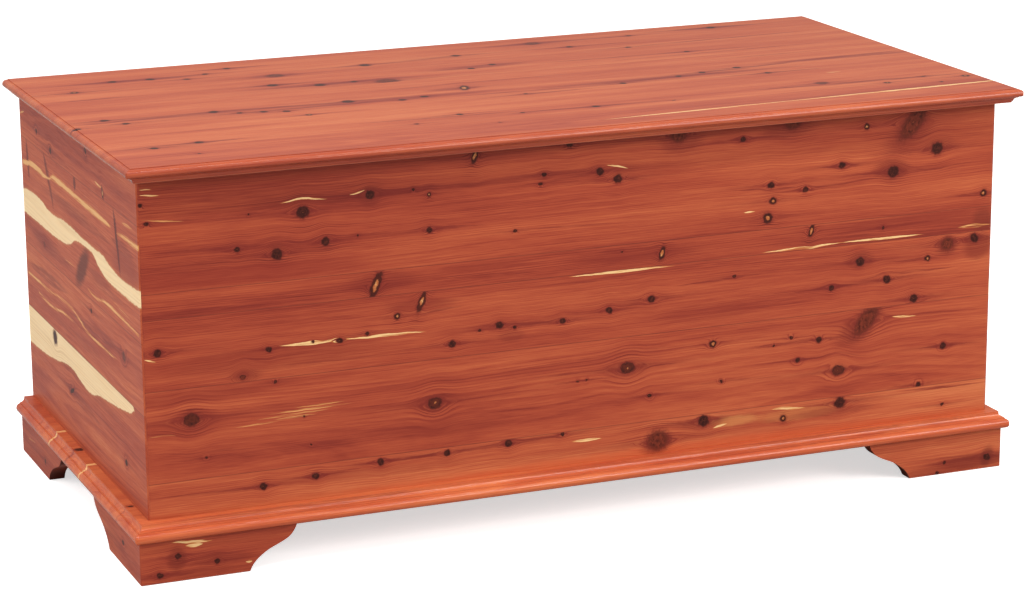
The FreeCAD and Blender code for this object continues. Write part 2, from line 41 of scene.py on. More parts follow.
class Tree:
    """Short calls for building a shader or group tree."""

    def __init__(self, tree):
        self.t = tree
        self.n = 0

    def node(self, kind, **props):
        nd = self.t.nodes.new(kind)
        nd.location = (180 * (self.n % 40), -200 * (self.n // 40))
        self.n += 1
        for k, v in props.items():
            setattr(nd, k, v)
        return nd

    def put(self, socket, value):
        if value is None:
            return
        if isinstance(value, bpy.types.NodeSocket):
            self.t.links.new(value, socket)
        elif isinstance(value, (tuple, list)):
            if socket.type == "RGBA" and len(value) == 3:
                value = (*value, 1.0)
            socket.default_value = value
        else:
            if socket.type in ("VECTOR", "RGBA") and not hasattr(value, "__len__"):
                n = len(socket.default_value)
                socket.default_value = [value] * n
            else:
                socket.default_value = value

    def m(self, op, a, b=None, c=None, clamp=False):
        nd = self.node("ShaderNodeMath", operation=op, use_clamp=clamp)
        for i, v in enumerate((a, b, c)):
            self.put(nd.inputs[i], v)
        return nd.outputs[0]

    def v(self, op, a, b=None, c=None, scale=None):
        nd = self.node("ShaderNodeVectorMath", operation=op)
        for i, x in enumerate((a, b, c)):
            if x is not None:
                self.put(nd.inputs[i], x)
        if scale is not None:
            self.put(nd.inputs["Scale"], scale)
        return nd.outputs["Value" if op in ("LENGTH", "DOT_PRODUCT", "DISTANCE") else "Vector"]

    def xyz(self, a):
        nd = self.node("ShaderNodeSeparateXYZ")
        self.put(nd.inputs[0], a)
        return nd.outputs[0], nd.outputs[1], nd.outputs[2]

    def vec(self, x, y, z):
        nd = self.node("ShaderNodeCombineXYZ")
        for i, val in enumerate((x, y, z)):
            self.put(nd.inputs[i], val)
        return nd.outputs[0]

    def ramp(self, value, lo, hi, a=0.0, b=1.0, kind="SMOOTHSTEP"):
        nd = self.node("ShaderNodeMapRange", interpolation_type=kind, clamp=(kind == "LINEAR"))
        self.put(nd.inputs["Value"], value)
        self.put(nd.inputs["From Min"], lo)
        self.put(nd.inputs["From Max"], hi)
        self.put(nd.inputs["To Min"], a)
        self.put(nd.inputs["To Max"], b)
        return nd.outputs["Result"]

    def noise(self, vector, detail=2.0, rough=0.5, dist=0.0, color=False):
        nd = self.node("ShaderNodeTexNoise", noise_dimensions="3D")
        self.put(nd.inputs["Vector"], vector)
        nd.inputs["Scale"].default_value = 1.0
        nd.inputs["Detail"].default_value = detail
        nd.inputs["Roughness"].default_value = rough
        nd.inputs["Distortion"].default_value = dist
        return nd.outputs["Color" if color else "Fac"]

    def mix(self, fac, a, b, blend="MIX"):
        nd = self.node("ShaderNodeMix", data_type="RGBA", blend_type=blend)
        nd.clamp_factor = True
        self.put(nd.inputs[0], fac)
        self.put(nd.inputs[6], a)
        self.put(nd.inputs[7], b)
        return nd.outputs[2]

    def colors(self, fac, stops):
        nd = self.node("ShaderNodeValToRGB")
        el = nd.color_ramp.elements
        while len(el) < len(stops):
            el.new(0.5)
        for e, (p, c) in zip(el, stops):
            e.position = p
            e.color = (*c, 1.0)
        self.put(nd.inputs[0], fac)
        return nd.outputs[0]

    def curve(self, value, pts, lo, hi):
        """value in 0..1 -> piecewise smooth function given by pts (x 0..1, y)."""
        nd = self.node("ShaderNodeFloatCurve")
        cm = nd.mapping
        cm.use_clip = False
        cu = cm.curves[0]
        norm = [(x, (y - lo) / (hi - lo)) for x, y in pts]
        while len(cu.points) < len(norm):
            cu.points.new(0.5, 0.5)
        for p, (x, y) in zip(cu.points, norm):
            p.location = (x, y)
            p.handle_type = "AUTO"
        cm.update()
        self.put(nd.inputs["Value"], value)
        nd.inputs["Factor"].default_value = 1.0
        return self.m("MULTIPLY_ADD", nd.outputs[0], hi - lo, lo)


def new_group(name, ins, outs):
    g = bpy.data.node_groups.new(name, "ShaderNodeTree")
    for n, kind, default in ins:
        s = g.interface.new_socket(n, in_out="INPUT", socket_type="NodeSocket" + kind)
        if default is not None:
            s.default_value = default
    for n, kind in outs:
        g.interface.new_socket(n, in_out="OUTPUT", socket_type="NodeSocket" + kind)
    t = Tree(g)
    gi = t.node("NodeGroupInput")
    go = t.node("NodeGroupOutput")
    return g, t, gi.outputs, go.inputs


# One knot, at U, V in millimetres along and across the board.  Warp collects
# the push on the grain, Q the distance to the nearest knot in knot radii,
# Halo the red wash, Brown and Eye what the nearest knot is made of.
def knot_group():
    ins = [("U", "Float", 0.0), ("V", "Float", 0.0), ("Warp", "Float", 0.0), ("Q", "Float", 9.0),
           ("Halo", "Float", 0.0), ("Brown", "Float", 0.0), ("Eye", "Float", 0.0)]
    par = ["Cu", "Cv", "IRu", "IRv", "Tilt", "Nsx", "Nsv", "Soft", "Push", "Nhx", "Nhv", "Kh", "Kb", "Ke"]
    g, t, i, o = new_group("cedar_knot", ins + [(n, "Float", 0.0) for n in par],
                           [("Warp", "Float"), ("Q", "Float"), ("Halo", "Float"), ("Brown", "Float"), ("Eye", "Float")])
    du = t.m("SUBTRACT", i["U"], i["Cu"])
    dv = t.m("SUBTRACT", i["V"], i["Cv"])
    a = t.m("MULTIPLY", t.m("SUBTRACT", du, t.m("MULTIPLY", dv, i["Tilt"])), i["IRu"])
    b = t.m("MULTIPLY", dv, i["IRv"])
    q = t.m("SQRT", t.m("MULTIPLY_ADD", a, a, t.m("MULTIPLY", b, b)))
    u2 = t.m("MULTIPLY", du, du)
    v2 = t.m("MULTIPLY", dv, dv)
    # the grain is pushed away from the knot and closes again on both sides
    ex = t.m("EXPONENT", t.m("MULTIPLY_ADD", u2, i["Nsx"], t.m("MULTIPLY", t.m("ABSOLUTE", dv), i["Nsv"])))
    sgn = t.m("DIVIDE", dv, t.m("SQRT", t.m("ADD", v2, i["Soft"])))
    t.put(o["Warp"], t.m("MULTIPLY_ADD", t.m("MULTIPLY", ex, sgn), i["Push"], i["Warp"]))
    t.put(o["Q"], t.m("MINIMUM", i["Q"], q))
    # dark red wash that runs out along the grain
    hz = t.m("EXPONENT", t.m("MULTIPLY_ADD", v2, i["Nhv"], t.m("MULTIPLY", t.m("ABSOLUTE", du), i["Nhx"])))
    t.put(o["Halo"], t.m("MULTIPLY_ADD", hz, i["Kh"], i["Halo"]))
    near = t.ramp(q, 1.5, 1.2)
    t.put(o["Brown"], t.m("MULTIPLY_ADD", near, i["Kb"], i["Brown"]))
    t.put(o["Eye"], t.m("MULTIPLY_ADD", near, i["Ke"], i["Eye"]))
    return g


# A straight thin streak between two points, pointed at both ends.
def streak_group():
    ins = [("U", "Float", 0.0), ("V", "Float", 0.0), ("S", "Float", 0.0)]
    par = ["Cu", "Cv", "Co", "Si", "Half", "IW", "Gain"]
    g, t, i, o = new_group("cedar_streak", ins + [(n, "Float", 0.0) for n in par], [("S", "Float")])
    du = t.m("SUBTRACT", i["U"], i["Cu"])
    dv = t.m("SUBTRACT", i["V"], i["Cv"])
    along = t.m("MULTIPLY_ADD", du, i["Co"], t.m("MULTIPLY", dv, i["Si"]))
    off = t.m("SUBTRACT", t.m("MULTIPLY", dv, i["Co"]), t.m("MULTIPLY", du, i["Si"]))
    a = t.m("MULTIPLY", along, i["Half"])                  # -1 .. 1 end to end
    taper = t.m("SUBTRACT", 1.0, t.m("POWER", t.m("ABSOLUTE", a), 1.7))
    e = t.m("SUBTRACT", taper, t.m("MULTIPLY", t.m("ABSOLUTE", off), i["IW"]))
    s = t.ramp(e, -0.15, 0.25)
    t.put(o["S"], t.m("MAXIMUM", i["S"], t.m("MULTIPLY", s, i["Gain"])))
    return g


# The wood itself: P is (along, across, through) in millimetres.  Warp is the
# push of the knots on the grain, Swell makes closed rings round them.
def wood_group():
    g, t, i, o = new_group(
        "cedar_wood",
        [("P", "Vector", None), ("Warp", "Float", 0.0), ("Swell", "Float", 0.0), ("Pith", "Vector", None),
         ("Seed", "Float", 0.0), ("Tone", "Float", 0.5), ("Ring", "Float", 3.0), ("Contrast", "Float", 1.0),
         ("Lines", "Float", 0.17)],
        [("Color", "Color"), ("Height", "Float"), ("Late", "Float")])
    u, v, w = t.xyz(i["P"])
    sd = i["Seed"]
    ps = t.vec(u, v, t.m("MULTIPLY_ADD", sd, 91.7, w))
    # slow wander of the grain along the board
    wander = t.noise(t.v("MULTIPLY", ps, (0.0022, 0.010, 0.02)), 1.0, 0.4)
    wander = t.m("MULTIPLY_ADD", wander, 15.0, -7.5)
    fine = t.noise(t.v("MULTIPLY", ps, (0.020, 0.09, 0.05)), 1.0, 0.5)
    ve = t.m("ADD", t.m("ADD", v, i["Warp"]), t.m("MULTIPLY_ADD", fine, 1.0, -0.5))
    pv, pw = t.v("DOT_PRODUCT", i["Pith"], (1.0, 0.0, 0.0)), t.v("DOT_PRODUCT", i["Pith"], (0.0, 1.0, 0.0))
    r = t.v("LENGTH", t.vec(t.m("SUBTRACT", ve, pv), t.m("SUBTRACT", w, pw), 0.0))
    r = t.m("ADD", t.m("ADD", r, wander), i["Swell"])
    # years of uneven width, darkest at their end
    uneven = t.noise(t.vec(t.m("MULTIPLY", r, 0.11), sd, t.m("MULTIPLY", u, 0.0010)), 2.0, 0.6)
    ph = t.m("ADD", t.m("DIVIDE", r, i["Ring"]), t.m("MULTIPLY", uneven, 4.0))
    fr = t.m("FRACT", ph)
    late = t.m("MULTIPLY", t.ramp(fr, 0.30, 0.88), t.ramp(fr, 1.0, 0.90))
    late = t.m("MULTIPLY", late, t.ramp(uneven, 0.32, 0.66, 0.25, 1.0))
    # long streaks of deeper and paler heartwood
    broad = t.noise(t.vec(t.m("MULTIPLY", u, 0.0021), t.m("MULTIPLY_ADD", ve, 0.030, t.m("MULTIPLY", sd, 7.3)), t.m("MULTIPLY", w, 0.03)), 2.0, 0.55)
    streak = t.noise(t.vec(t.m("MULTIPLY", u, 0.0045), t.m("MULTIPLY", r, 0.42), t.m("MULTIPLY", sd, 3.1)), 4.0, 0.70)
    pore = t.noise(t.vec(t.m("MULTIPLY", u, 0.024), t.m("MULTIPLY", ve, 1.1), t.m("MULTIPLY_ADD", w, 1.1, sd)), 2.0, 0.7)
    k = t.m("MULTIPLY_ADD", t.m("SUBTRACT", broad, 0.5), 0.82, t.m("MULTIPLY", t.m("SUBTRACT", streak, 0.5), 0.60))
    k = t.m("MULTIPLY_ADD", late, i["Lines"], k)
    k = t.m("MULTIPLY_ADD", t.m("SUBTRACT", pore, 0.5), 0.62, k)
    k = t.m("MULTIPLY_ADD", k, i["Contrast"], i["Tone"])
    col = t.colors(k, [(0.0, (0.570, 0.165, 0.062)), (0.28, (0.455, 0.096, 0.037)),
                       (0.52, (0.350, 0.057, 0.025)), (0.76, (0.240, 0.031, 0.017)),
                       (1.0, (0.135, 0.015, 0.010))])
    t.put(o["Color"], col)
    t.put(o["Late"], late)
    t.put(o["Height"], pore)
    return g


KNOT = knot_group()
STREAK = streak_group()
WOOD = wood_group()

CREAM = (0.860, 0.610, 0.330)
YELLOW = (0.640, 0.290, 0.095)
KNOT_DARK = (0.030, 0.004, 0.002)
KNOT_BROWN = (0.185, 0.028, 0.012)
HALO = (0.175, 0.018, 0.013)

# what each kind of knot looks like: along scale, across scale, push, eye,
# brown, halo, tilt
KINDS = {
    "D": (0.80, 0.76, 0.8, 0.0, 0.0, 1.1, 0.0),
    "T": (0.95, 0.85, 0.3, 0.0, 0.0, 0.7, 0.0),
    "L": (0.95, 0.95, 0.5, 0.75, 0.0, 0.7, 0.0),
    "E": (0.88, 0.68, 1.5, 0.0, 0.55, 1.0, 0.0),
    "P": (0.88, 0.68, 1.5, 0.30, 0.5, 1.0, 0.0),
    "O": (0.62, 1.75, 0.5, 0.8, 0.3, 0.4, 0.35),
    "S": (0.80, 1.15, 0.6, 0.0, 1.0, 0.4, 0.6),
    "B": (0.95, 0.80, 0.6, 0.0, 1.0, 0.7, 0.0),
    "C": (0.60, 1.35, 0.6, 0.95, 0.0, 0.4, 0.25),
    "W": (0.5, 0.4, 3.4, 0.0, 0.9, 0.3, 0.0),
}


def cedar(name, axes, spec):
    """A material for one board.  axes says which of x, y, z run along, across
    and through the board."""
    mat = bpy.data.materials.new("cedar_" + name)
    mat.use_nodes = True
    mat.node_tree.nodes.clear()
    t = Tree(mat.node_tree)
    out = t.node("ShaderNodeOutputMaterial")
    bsdf = t.node("ShaderNodeBsdfPrincipled")
    t.t.links.new(bsdf.outputs[0], out.inputs[0])
    tc = t.node("ShaderNodeTexCoord")
    mm = t.v("MULTIPLY_ADD", tc.outputs["Object"], (1000.0, 1000.0, 1000.0), (0.0, Y0, 0.0))
    c = dict(zip("xyz", t.xyz(mm)))
    u, v, w = c[axes[0]], c[axes[1]], c[axes[2]]
    raw = t.vec(u, v, w)
    # small irregularity, so that no edge is a clean ellipse
    wob = t.noise(t.v("MULTIPLY", raw, (0.13, 0.13, 0.13)), 2.0, 0.5, color=True)
    pw = t.v("MULTIPLY_ADD", wob, (5.0, 3.2, 0.0), (-2.5, -1.6, 0.0))
    pu = t.m("ADD", u, t.v("DOT_PRODUCT", pw, (1.0, 0.0, 0.0)))
    pv = t.m("ADD", v, t.v("DOT_PRODUCT", pw, (0.0, 1.0, 0.0)))

    acc = None
    for k in spec.get("knots", ()):
        x, y, r, kind = k[:4]
        su, sv, push, eye, brown, halo, tilt = KINDS[kind]
        if len(k) > 4:
            tilt = k[4]
        ru, rv = r * su, r * sv
        nd = t.node("ShaderNodeGroup")
        nd.node_tree = KNOT
        t.put(nd.inputs["U"], pu)
        t.put(nd.inputs["V"], pv)
        if acc is not None:
            for n in ("Warp", "Q", "Halo", "Brown", "Eye"):
                t.put(nd.inputs[n], acc[n])
        else:
            nd.inputs["Q"].default_value = 9.0
        for n, val in (("Cu", x), ("Cv", y), ("IRu", 1.0 / ru), ("IRv", 1.0 / rv), ("Tilt", tilt),
                       ("Nsx", -1.0 / (1.9 * ru + 4.0) ** 2), ("Nsv", -1.0 / (2.6 * rv + 4.0)),
                       ("Soft", 0.5 * rv + 0.4), ("Push", -push * (1.15 * r + 1.0)),
                       ("Nhx", -1.0 / (5.0 * ru + 16.0)), ("Nhv", -1.0 / (0.42 * rv + 0.9) ** 2),
                       ("Kh", halo), ("Kb", brown), ("Ke", eye)):
            nd.inputs[n].default_value = val
        acc = nd.outputs
    if acc is None:
        warp, swell, lines = 0.0, 0.0, 0.17
    else:
        warp, q = acc["Warp"], acc["Q"]
        halo = t.m("MINIMUM", acc["Halo"], 1.0)
        qq = t.m("MULTIPLY", q, q)
        swell = t.m("MULTIPLY", t.m("EXPONENT", t.m("MULTIPLY", qq, -0.30)), 4.5)
        lines = t.m("MULTIPLY_ADD", t.m("EXPONENT", t.m("MULTIPLY", qq, -0.09)), 0.44, 0.15)
    wd = t.node("ShaderNodeGroup")
    wd.node_tree = WOOD
    t.put(wd.inputs["P"], raw)
    t.put(wd.inputs["Warp"], warp)
    t.put(wd.inputs["Swell"], swell)
    t.put(wd.inputs["Lines"], lines)
    wd.inputs["Contrast"].default_value = spec.get("contrast", 1.0)
    wd.inputs["Pith"].default_value = (*spec.get("pith", (0.0, -60.0)), 0.0)
    wd.inputs["Seed"].default_value = spec.get("seed", 1.0)
    tone = spec.get("tone", 0.42)
    # a tone ramp along the board; on the front boards it is painted light
    if "slope" in spec:
        (ua, ta), (ub, tb) = spec["slope"]
        t.put(wd.inputs["Tone"], t.ramp(u, ua, ub, tone + ta, tone + tb))
    else:
        wd.inputs["Tone"].default_value = tone
    wd.inputs["Ring"].default_value = spec.get("ring", 3.2) * 0.70
    col = wd.outputs["Color"]

    # dark seams of resin along the grain
    pg = t.m("ADD", t.m("MULTIPLY_ADD", t.m("SUBTRACT", pv, v), 0.3, v), warp)

    def streaks(items):
        s = None
        for (xa, ya), (xb, yb), width, gain in items:
            ln = math.hypot(xb - xa, yb - ya)
            nd = t.node("ShaderNodeGroup")
            nd.node_tree = STREAK
            t.put(nd.inputs["U"], u)
            t.put(nd.inputs["V"], pg)
            if s is not None:
                t.put(nd.inputs["S"], s)
            for n, val in (("Cu", (xa + xb) / 2), ("Cv", (ya + yb) / 2), ("Co", (xb - xa) / ln), ("Si", (yb - ya) / ln),
                           ("Half", 2.0 / ln), ("IW", 1.25 / width), ("Gain", gain)):
                nd.inputs[n].default_value = val
            s = nd.outputs["S"]
        return s

    thin = t.noise(t.vec(t.m("MULTIPLY", u, 0.02), t.m("MULTIPLY", pg, 0.55), t.m("MULTIPLY", w, 0.55)), 2.0, 0.65)
    if acc is not None:
        col = t.mix(t.m("MULTIPLY", halo, t.ramp(thin, 0.30, 0.55, 0.45, 0.95)), col, HALO)
    if spec.get("red"):
        sr = streaks([(pa, pb, wd_ * 1.3, gn) for pa, pb, wd_, gn in spec["red"]])
        col = t.mix(t.m("MULTIPLY", sr, t.ramp(thin, 0.35, 0.62, 0.15, 1.0)), col, HALO)
    for cu, cv, ru, rv, tilt, amount, shade in spec.get("patches", ()):
        du, dv = t.m("SUBTRACT", u, cu), t.m("SUBTRACT", pv, cv)
        a = t.m("MULTIPLY", t.m("SUBTRACT", du, t.m("MULTIPLY", dv, tilt)), 1.0 / ru)
        b = t.m("MULTIPLY", dv, 1.0 / rv)
        pq = t.m("SQRT", t.m("MULTIPLY_ADD", a, a, t.m("MULTIPLY", b, b)))
        pq = t.m("MULTIPLY_ADD", t.m("SUBTRACT", thin, 0.5), 0.7, pq)
        col = t.mix(t.ramp(pq, 1.25, 0.55, 0.0, amount), col, shade)
    for pts in spec.get("ribbons", ()):
        u0, u1 = pts[0][0], pts[-1][0]
        nu = t.m("MULTIPLY_ADD", u, 1.0 / (u1 - u0), -u0 / (u1 - u0))
        lo, hi = min(p[1] for p in pts) - 1.0, max(p[1] for p in pts) + 1.0
        mid = t.curve(nu, [((p[0] - u0) / (u1 - u0), p[1]) for p in pts], lo, hi)
        half = t.curve(nu, [((p[0] - u0) / (u1 - u0), p[2]) for p in pts], 0.0, 8.0)
        rib = t.m("SUBTRACT", half, t.m("ABSOLUTE", t.m("SUBTRACT", pg, mid)))
        ends = t.m("MULTIPLY", t.ramp(nu, 0.0, 0.03), t.ramp(nu, 1.0, 0.97))
        rib = t.m("MULTIPLY", t.ramp(t.m("MULTIPLY_ADD", t.m("SUBTRACT", thin, 0.5), 8.0, rib), -0.9, 2.2), ends)
        col = t.mix(t.m("MULTIPLY", rib, 0.95), col, (0.66, 0.28, 0.085))
        col = t.mix(t.ramp(rib, 0.80, 1.0, 0.0, 0.7), col, (0.74, 0.42, 0.17))
    if spec.get("yellow"):
        sy = streaks(spec["yellow"])
        sy = t.m("MULTIPLY", sy, t.ramp(thin, 0.38, 0.58, 0.12, 1.0))
        col = t.mix(sy, col, YELLOW)
        col = t.mix(t.ramp(sy, 0.75, 0.95, 0.0, 0.7), col, (0.72, 0.42, 0.17))

    cream = None
    if spec.get("cream"):
        sc = streaks(spec["cream"])
        sc = t.m("MULTIPLY", sc, t.ramp(thin, 0.36, 0.52, 0.22, 1.0))
        col = t.mix(t.ramp(sc, 0.05, 0.5), col, (0.56, 0.20, 0.055))
        col = t.mix(t.ramp(sc, 0.40, 0.90, 0.0, 0.9), col, spec.get("line", (0.80, 0.54, 0.25)))
    for band in spec.get("bands", ()):
        (u0, u1), top, bot, soft = band
        nu = t.m("DIVIDE", t.m("SUBTRACT", pu, u0), u1 - u0)
        ys = [p[1] for p in top + bot]
        lo, hi = min(ys) - 2.0, max(ys) + 2.0
        fn = lambda pts: [((x - u0) / (u1 - u0), y) for x, y in pts]
        ct = t.curve(nu, fn(top), lo, hi)
        cb = t.curve(nu, fn(bot), lo, hi)
        dd = t.m("MINIMUM", t.m("SUBTRACT", ct, pv), t.m("SUBTRACT", pv, cb))
        mask = t.ramp(dd, -soft, soft)
        cream = mask if cream is None else t.m("MAXIMUM", cream, mask)
        # a thin orange line where sapwood meets heartwood
        edge = t.m("MULTIPLY", t.ramp(dd, -3.0 - soft, -soft), t.ramp(dd, soft, -soft))
        col = t.mix(t.m("MULTIPLY", edge, 0.4), col, (0.50, 0.17, 0.055))
    if cream is not None:
        cc = t.mix(t.m("MULTIPLY", wd.outputs["Late"], 0.5), CREAM, (0.560, 0.335, 0.150))
        cc = t.mix(t.ramp(thin, 0.3, 0.7, 0.0, 0.5), cc, (0.88, 0.69, 0.42))
        col = t.mix(cream, col, cc)

    # knots over everything
    if acc is not None:
        kn = t.noise(t.v("MULTIPLY", raw, (0.30, 0.22, 0.15)), 3.0, 0.60)
        qn = t.m("MULTIPLY_ADD", t.m("SUBTRACT", kn, 0.5), 0.95, q)
        brown = t.m("MINIMUM", acc["Brown"], 1.0)
        lim = t.m("MULTIPLY_ADD", t.m("MINIMUM", acc["Eye"], 1.0), 0.62, 0.02)
        eye = t.ramp(t.m("SUBTRACT", lim, qn), -0.04, 0.14)
        rings = t.m("MULTIPLY_ADD", t.m("SINE", t.m("MULTIPLY", qn, 11.0)), 0.22, 0.62)
        dark = t.mix(t.m("MULTIPLY", t.ramp(kn, 0.40, 0.70), 0.8), KNOT_DARK, (0.100, 0.017, 0.008))
        br = t.mix(t.m("MULTIPLY", t.m("MULTIPLY", rings, t.ramp(kn, 0.22, 0.78)), 1.25), KNOT_BROWN, (0.040, 0.005, 0.002))
        kc = t.mix(brown, dark, br)
        eyec = t.mix(t.ramp(kn, 0.46, 0.66), spec.get("eye", (0.40, 0.110, 0.032)), (0.66, 0.34, 0.13))
        kc = t.mix(eye, kc, eyec)
        # dark red wood hard against the knot
        col = t.mix(t.ramp(qn, 1.9, 1.0, 0.0, 0.65), col, (0.165, 0.020, 0.012))
        col = t.mix(t.ramp(qn, 1.28, 0.70), col, kc)
        rim = t.m("MULTIPLY", t.ramp(qn, 1.32, 1.04), t.ramp(qn, 0.70, 0.94))
        rim = t.m("MULTIPLY", rim, t.ramp(kn, 0.20, 0.75, 0.15, 0.90))
        rim = t.m("MULTIPLY", rim, t.ramp(brown, 0.92, 0.99, 1.0, 0.45))
        col = t.mix(rim, col, (0.022, 0.004, 0.003))

    # thin glue line where this board meets the next
    for level in spec.get("seams", ()):
        near = t.m("ABSOLUTE", t.m("SUBTRACT", v, level))
        col = t.mix(t.ramp(near, 0.75, 0.2, 0.0, spec.get("seam_dark", 0.60)), col, (0.12, 0.022, 0.015))

    # end grain and sawn ends are darker; on the feet the sawn ogee ends are made near black, partly end grain and
    # partly painted shade from under the chest
    nrm = t.v("ABSOLUTE", tc.outputs["Normal"])
    pick = {"x": (1.0, 0.0, 0.0), "y": (0.0, 1.0, 0.0), "z": (0.0, 0.0, 1.0)}[axes[0]]
    end = t.ramp(t.v("DOT_PRODUCT", nrm, pick), 0.35, 0.8)
    face = {"x": (1.0, 0.0, 0.0), "y": (0.0, 1.0, 0.0), "z": (0.0, 0.0, 1.0)}[axes[2]]
    end = t.m("MULTIPLY", end, t.ramp(t.v("DOT_PRODUCT", nrm, face), 0.55, 0.25))
    col = t.mix(t.m("MULTIPLY", end, spec.get("end", 0.18)), col, spec.get("end_color", (0.16, 0.022, 0.014)))

    # the inside is planed and left bare: paler, dry and rougher
    rough = t.ramp(wd.outputs["Height"], 0.1, 0.9, spec.get("rough", 0.35), spec.get("rough", 0.35) + 0.10)
    if spec.get("gloss"):
        flat = t.ramp(t.v("DOT_PRODUCT", nrm, (0.0, 0.0, 1.0)), 0.90, 0.97)
        rough = t.m("MULTIPLY_ADD", t.m("SUBTRACT", 1.0, flat), -0.27, t.m("ADD", rough, 0.06))
    if "bare" in spec:
        axis, at, sign = spec["bare"]
        m = t.ramp(t.m("MULTIPLY", t.m("SUBTRACT", c[axis], at), sign), -0.25, -0.05)
        dry = t.mix(t.ramp(t.v("DOT_PRODUCT", col, (0.5, 0.3, 0.2)), 0.02, 0.12, 0.06, 0.42), col, (0.58, 0.27, 0.16))
        col = t.mix(m, col, dry)
        rough = t.m("MULTIPLY_ADD", m, 0.30, rough)
    if spec.get("dry"):
        col = t.mix(t.ramp(t.v("DOT_PRODUCT", col, (0.5, 0.3, 0.2)), 0.02, 0.12, 0.06, 0.42), col, (0.58, 0.27, 0.16))
    if spec.get("tint"):
        col = t.mix(1.0, col, spec["tint"], "MULTIPLY")

    t.put(bsdf.inputs["Base Color"], col)
    t.put(bsdf.inputs["Roughness"], rough)
    bsdf.inputs["Specular IOR Level"].default_value = 0.27 if spec.get("gloss") else 0.17
    bsdf.inputs["IOR"].default_value = 1.5
    bump = t.node("ShaderNodeBump")
    bump.inputs["Strength"].default_value = 0.25
    bump.inputs["Distance"].default_value = 0.0002
    fib = t.noise(t.vec(t.m("MULTIPLY", u, 0.05), t.m("MULTIPLY", v, 1.6), t.m("MULTIPLY", w, 1.6)), 1.0, 0.5)
    t.put(bump.inputs["Height"], fib)
    t.t.links.new(bump.outputs[0], bsdf.inputs["Normal"])
    return mat


def dress(node, mat):
    o = NODES[node]
    if not o.data.materials:
        o.data.materials.append(mat)
    for i in range(len(o.material_slots)):
        o.material_slots[i].link = "OBJECT"
        o.material_slots[i].material = mat


def scatter(seed, n, u0, u1, v0, v1, sizes=(1.2, 8.0)):
    """Knots for the boards that are seen only from the other sides."""
    r = random.Random(seed)
    out = []
    for _ in range(n):
        s = sizes[0] + (sizes[1] - sizes[0]) * r.random() ** 1.8
        kind = r.choice("DDDDLTTEB" if s > 2.2 else "T")
        out.append((r.uniform(u0, u1), r.uniform(v0 + 3, v1 - 3), s, kind))
    return out


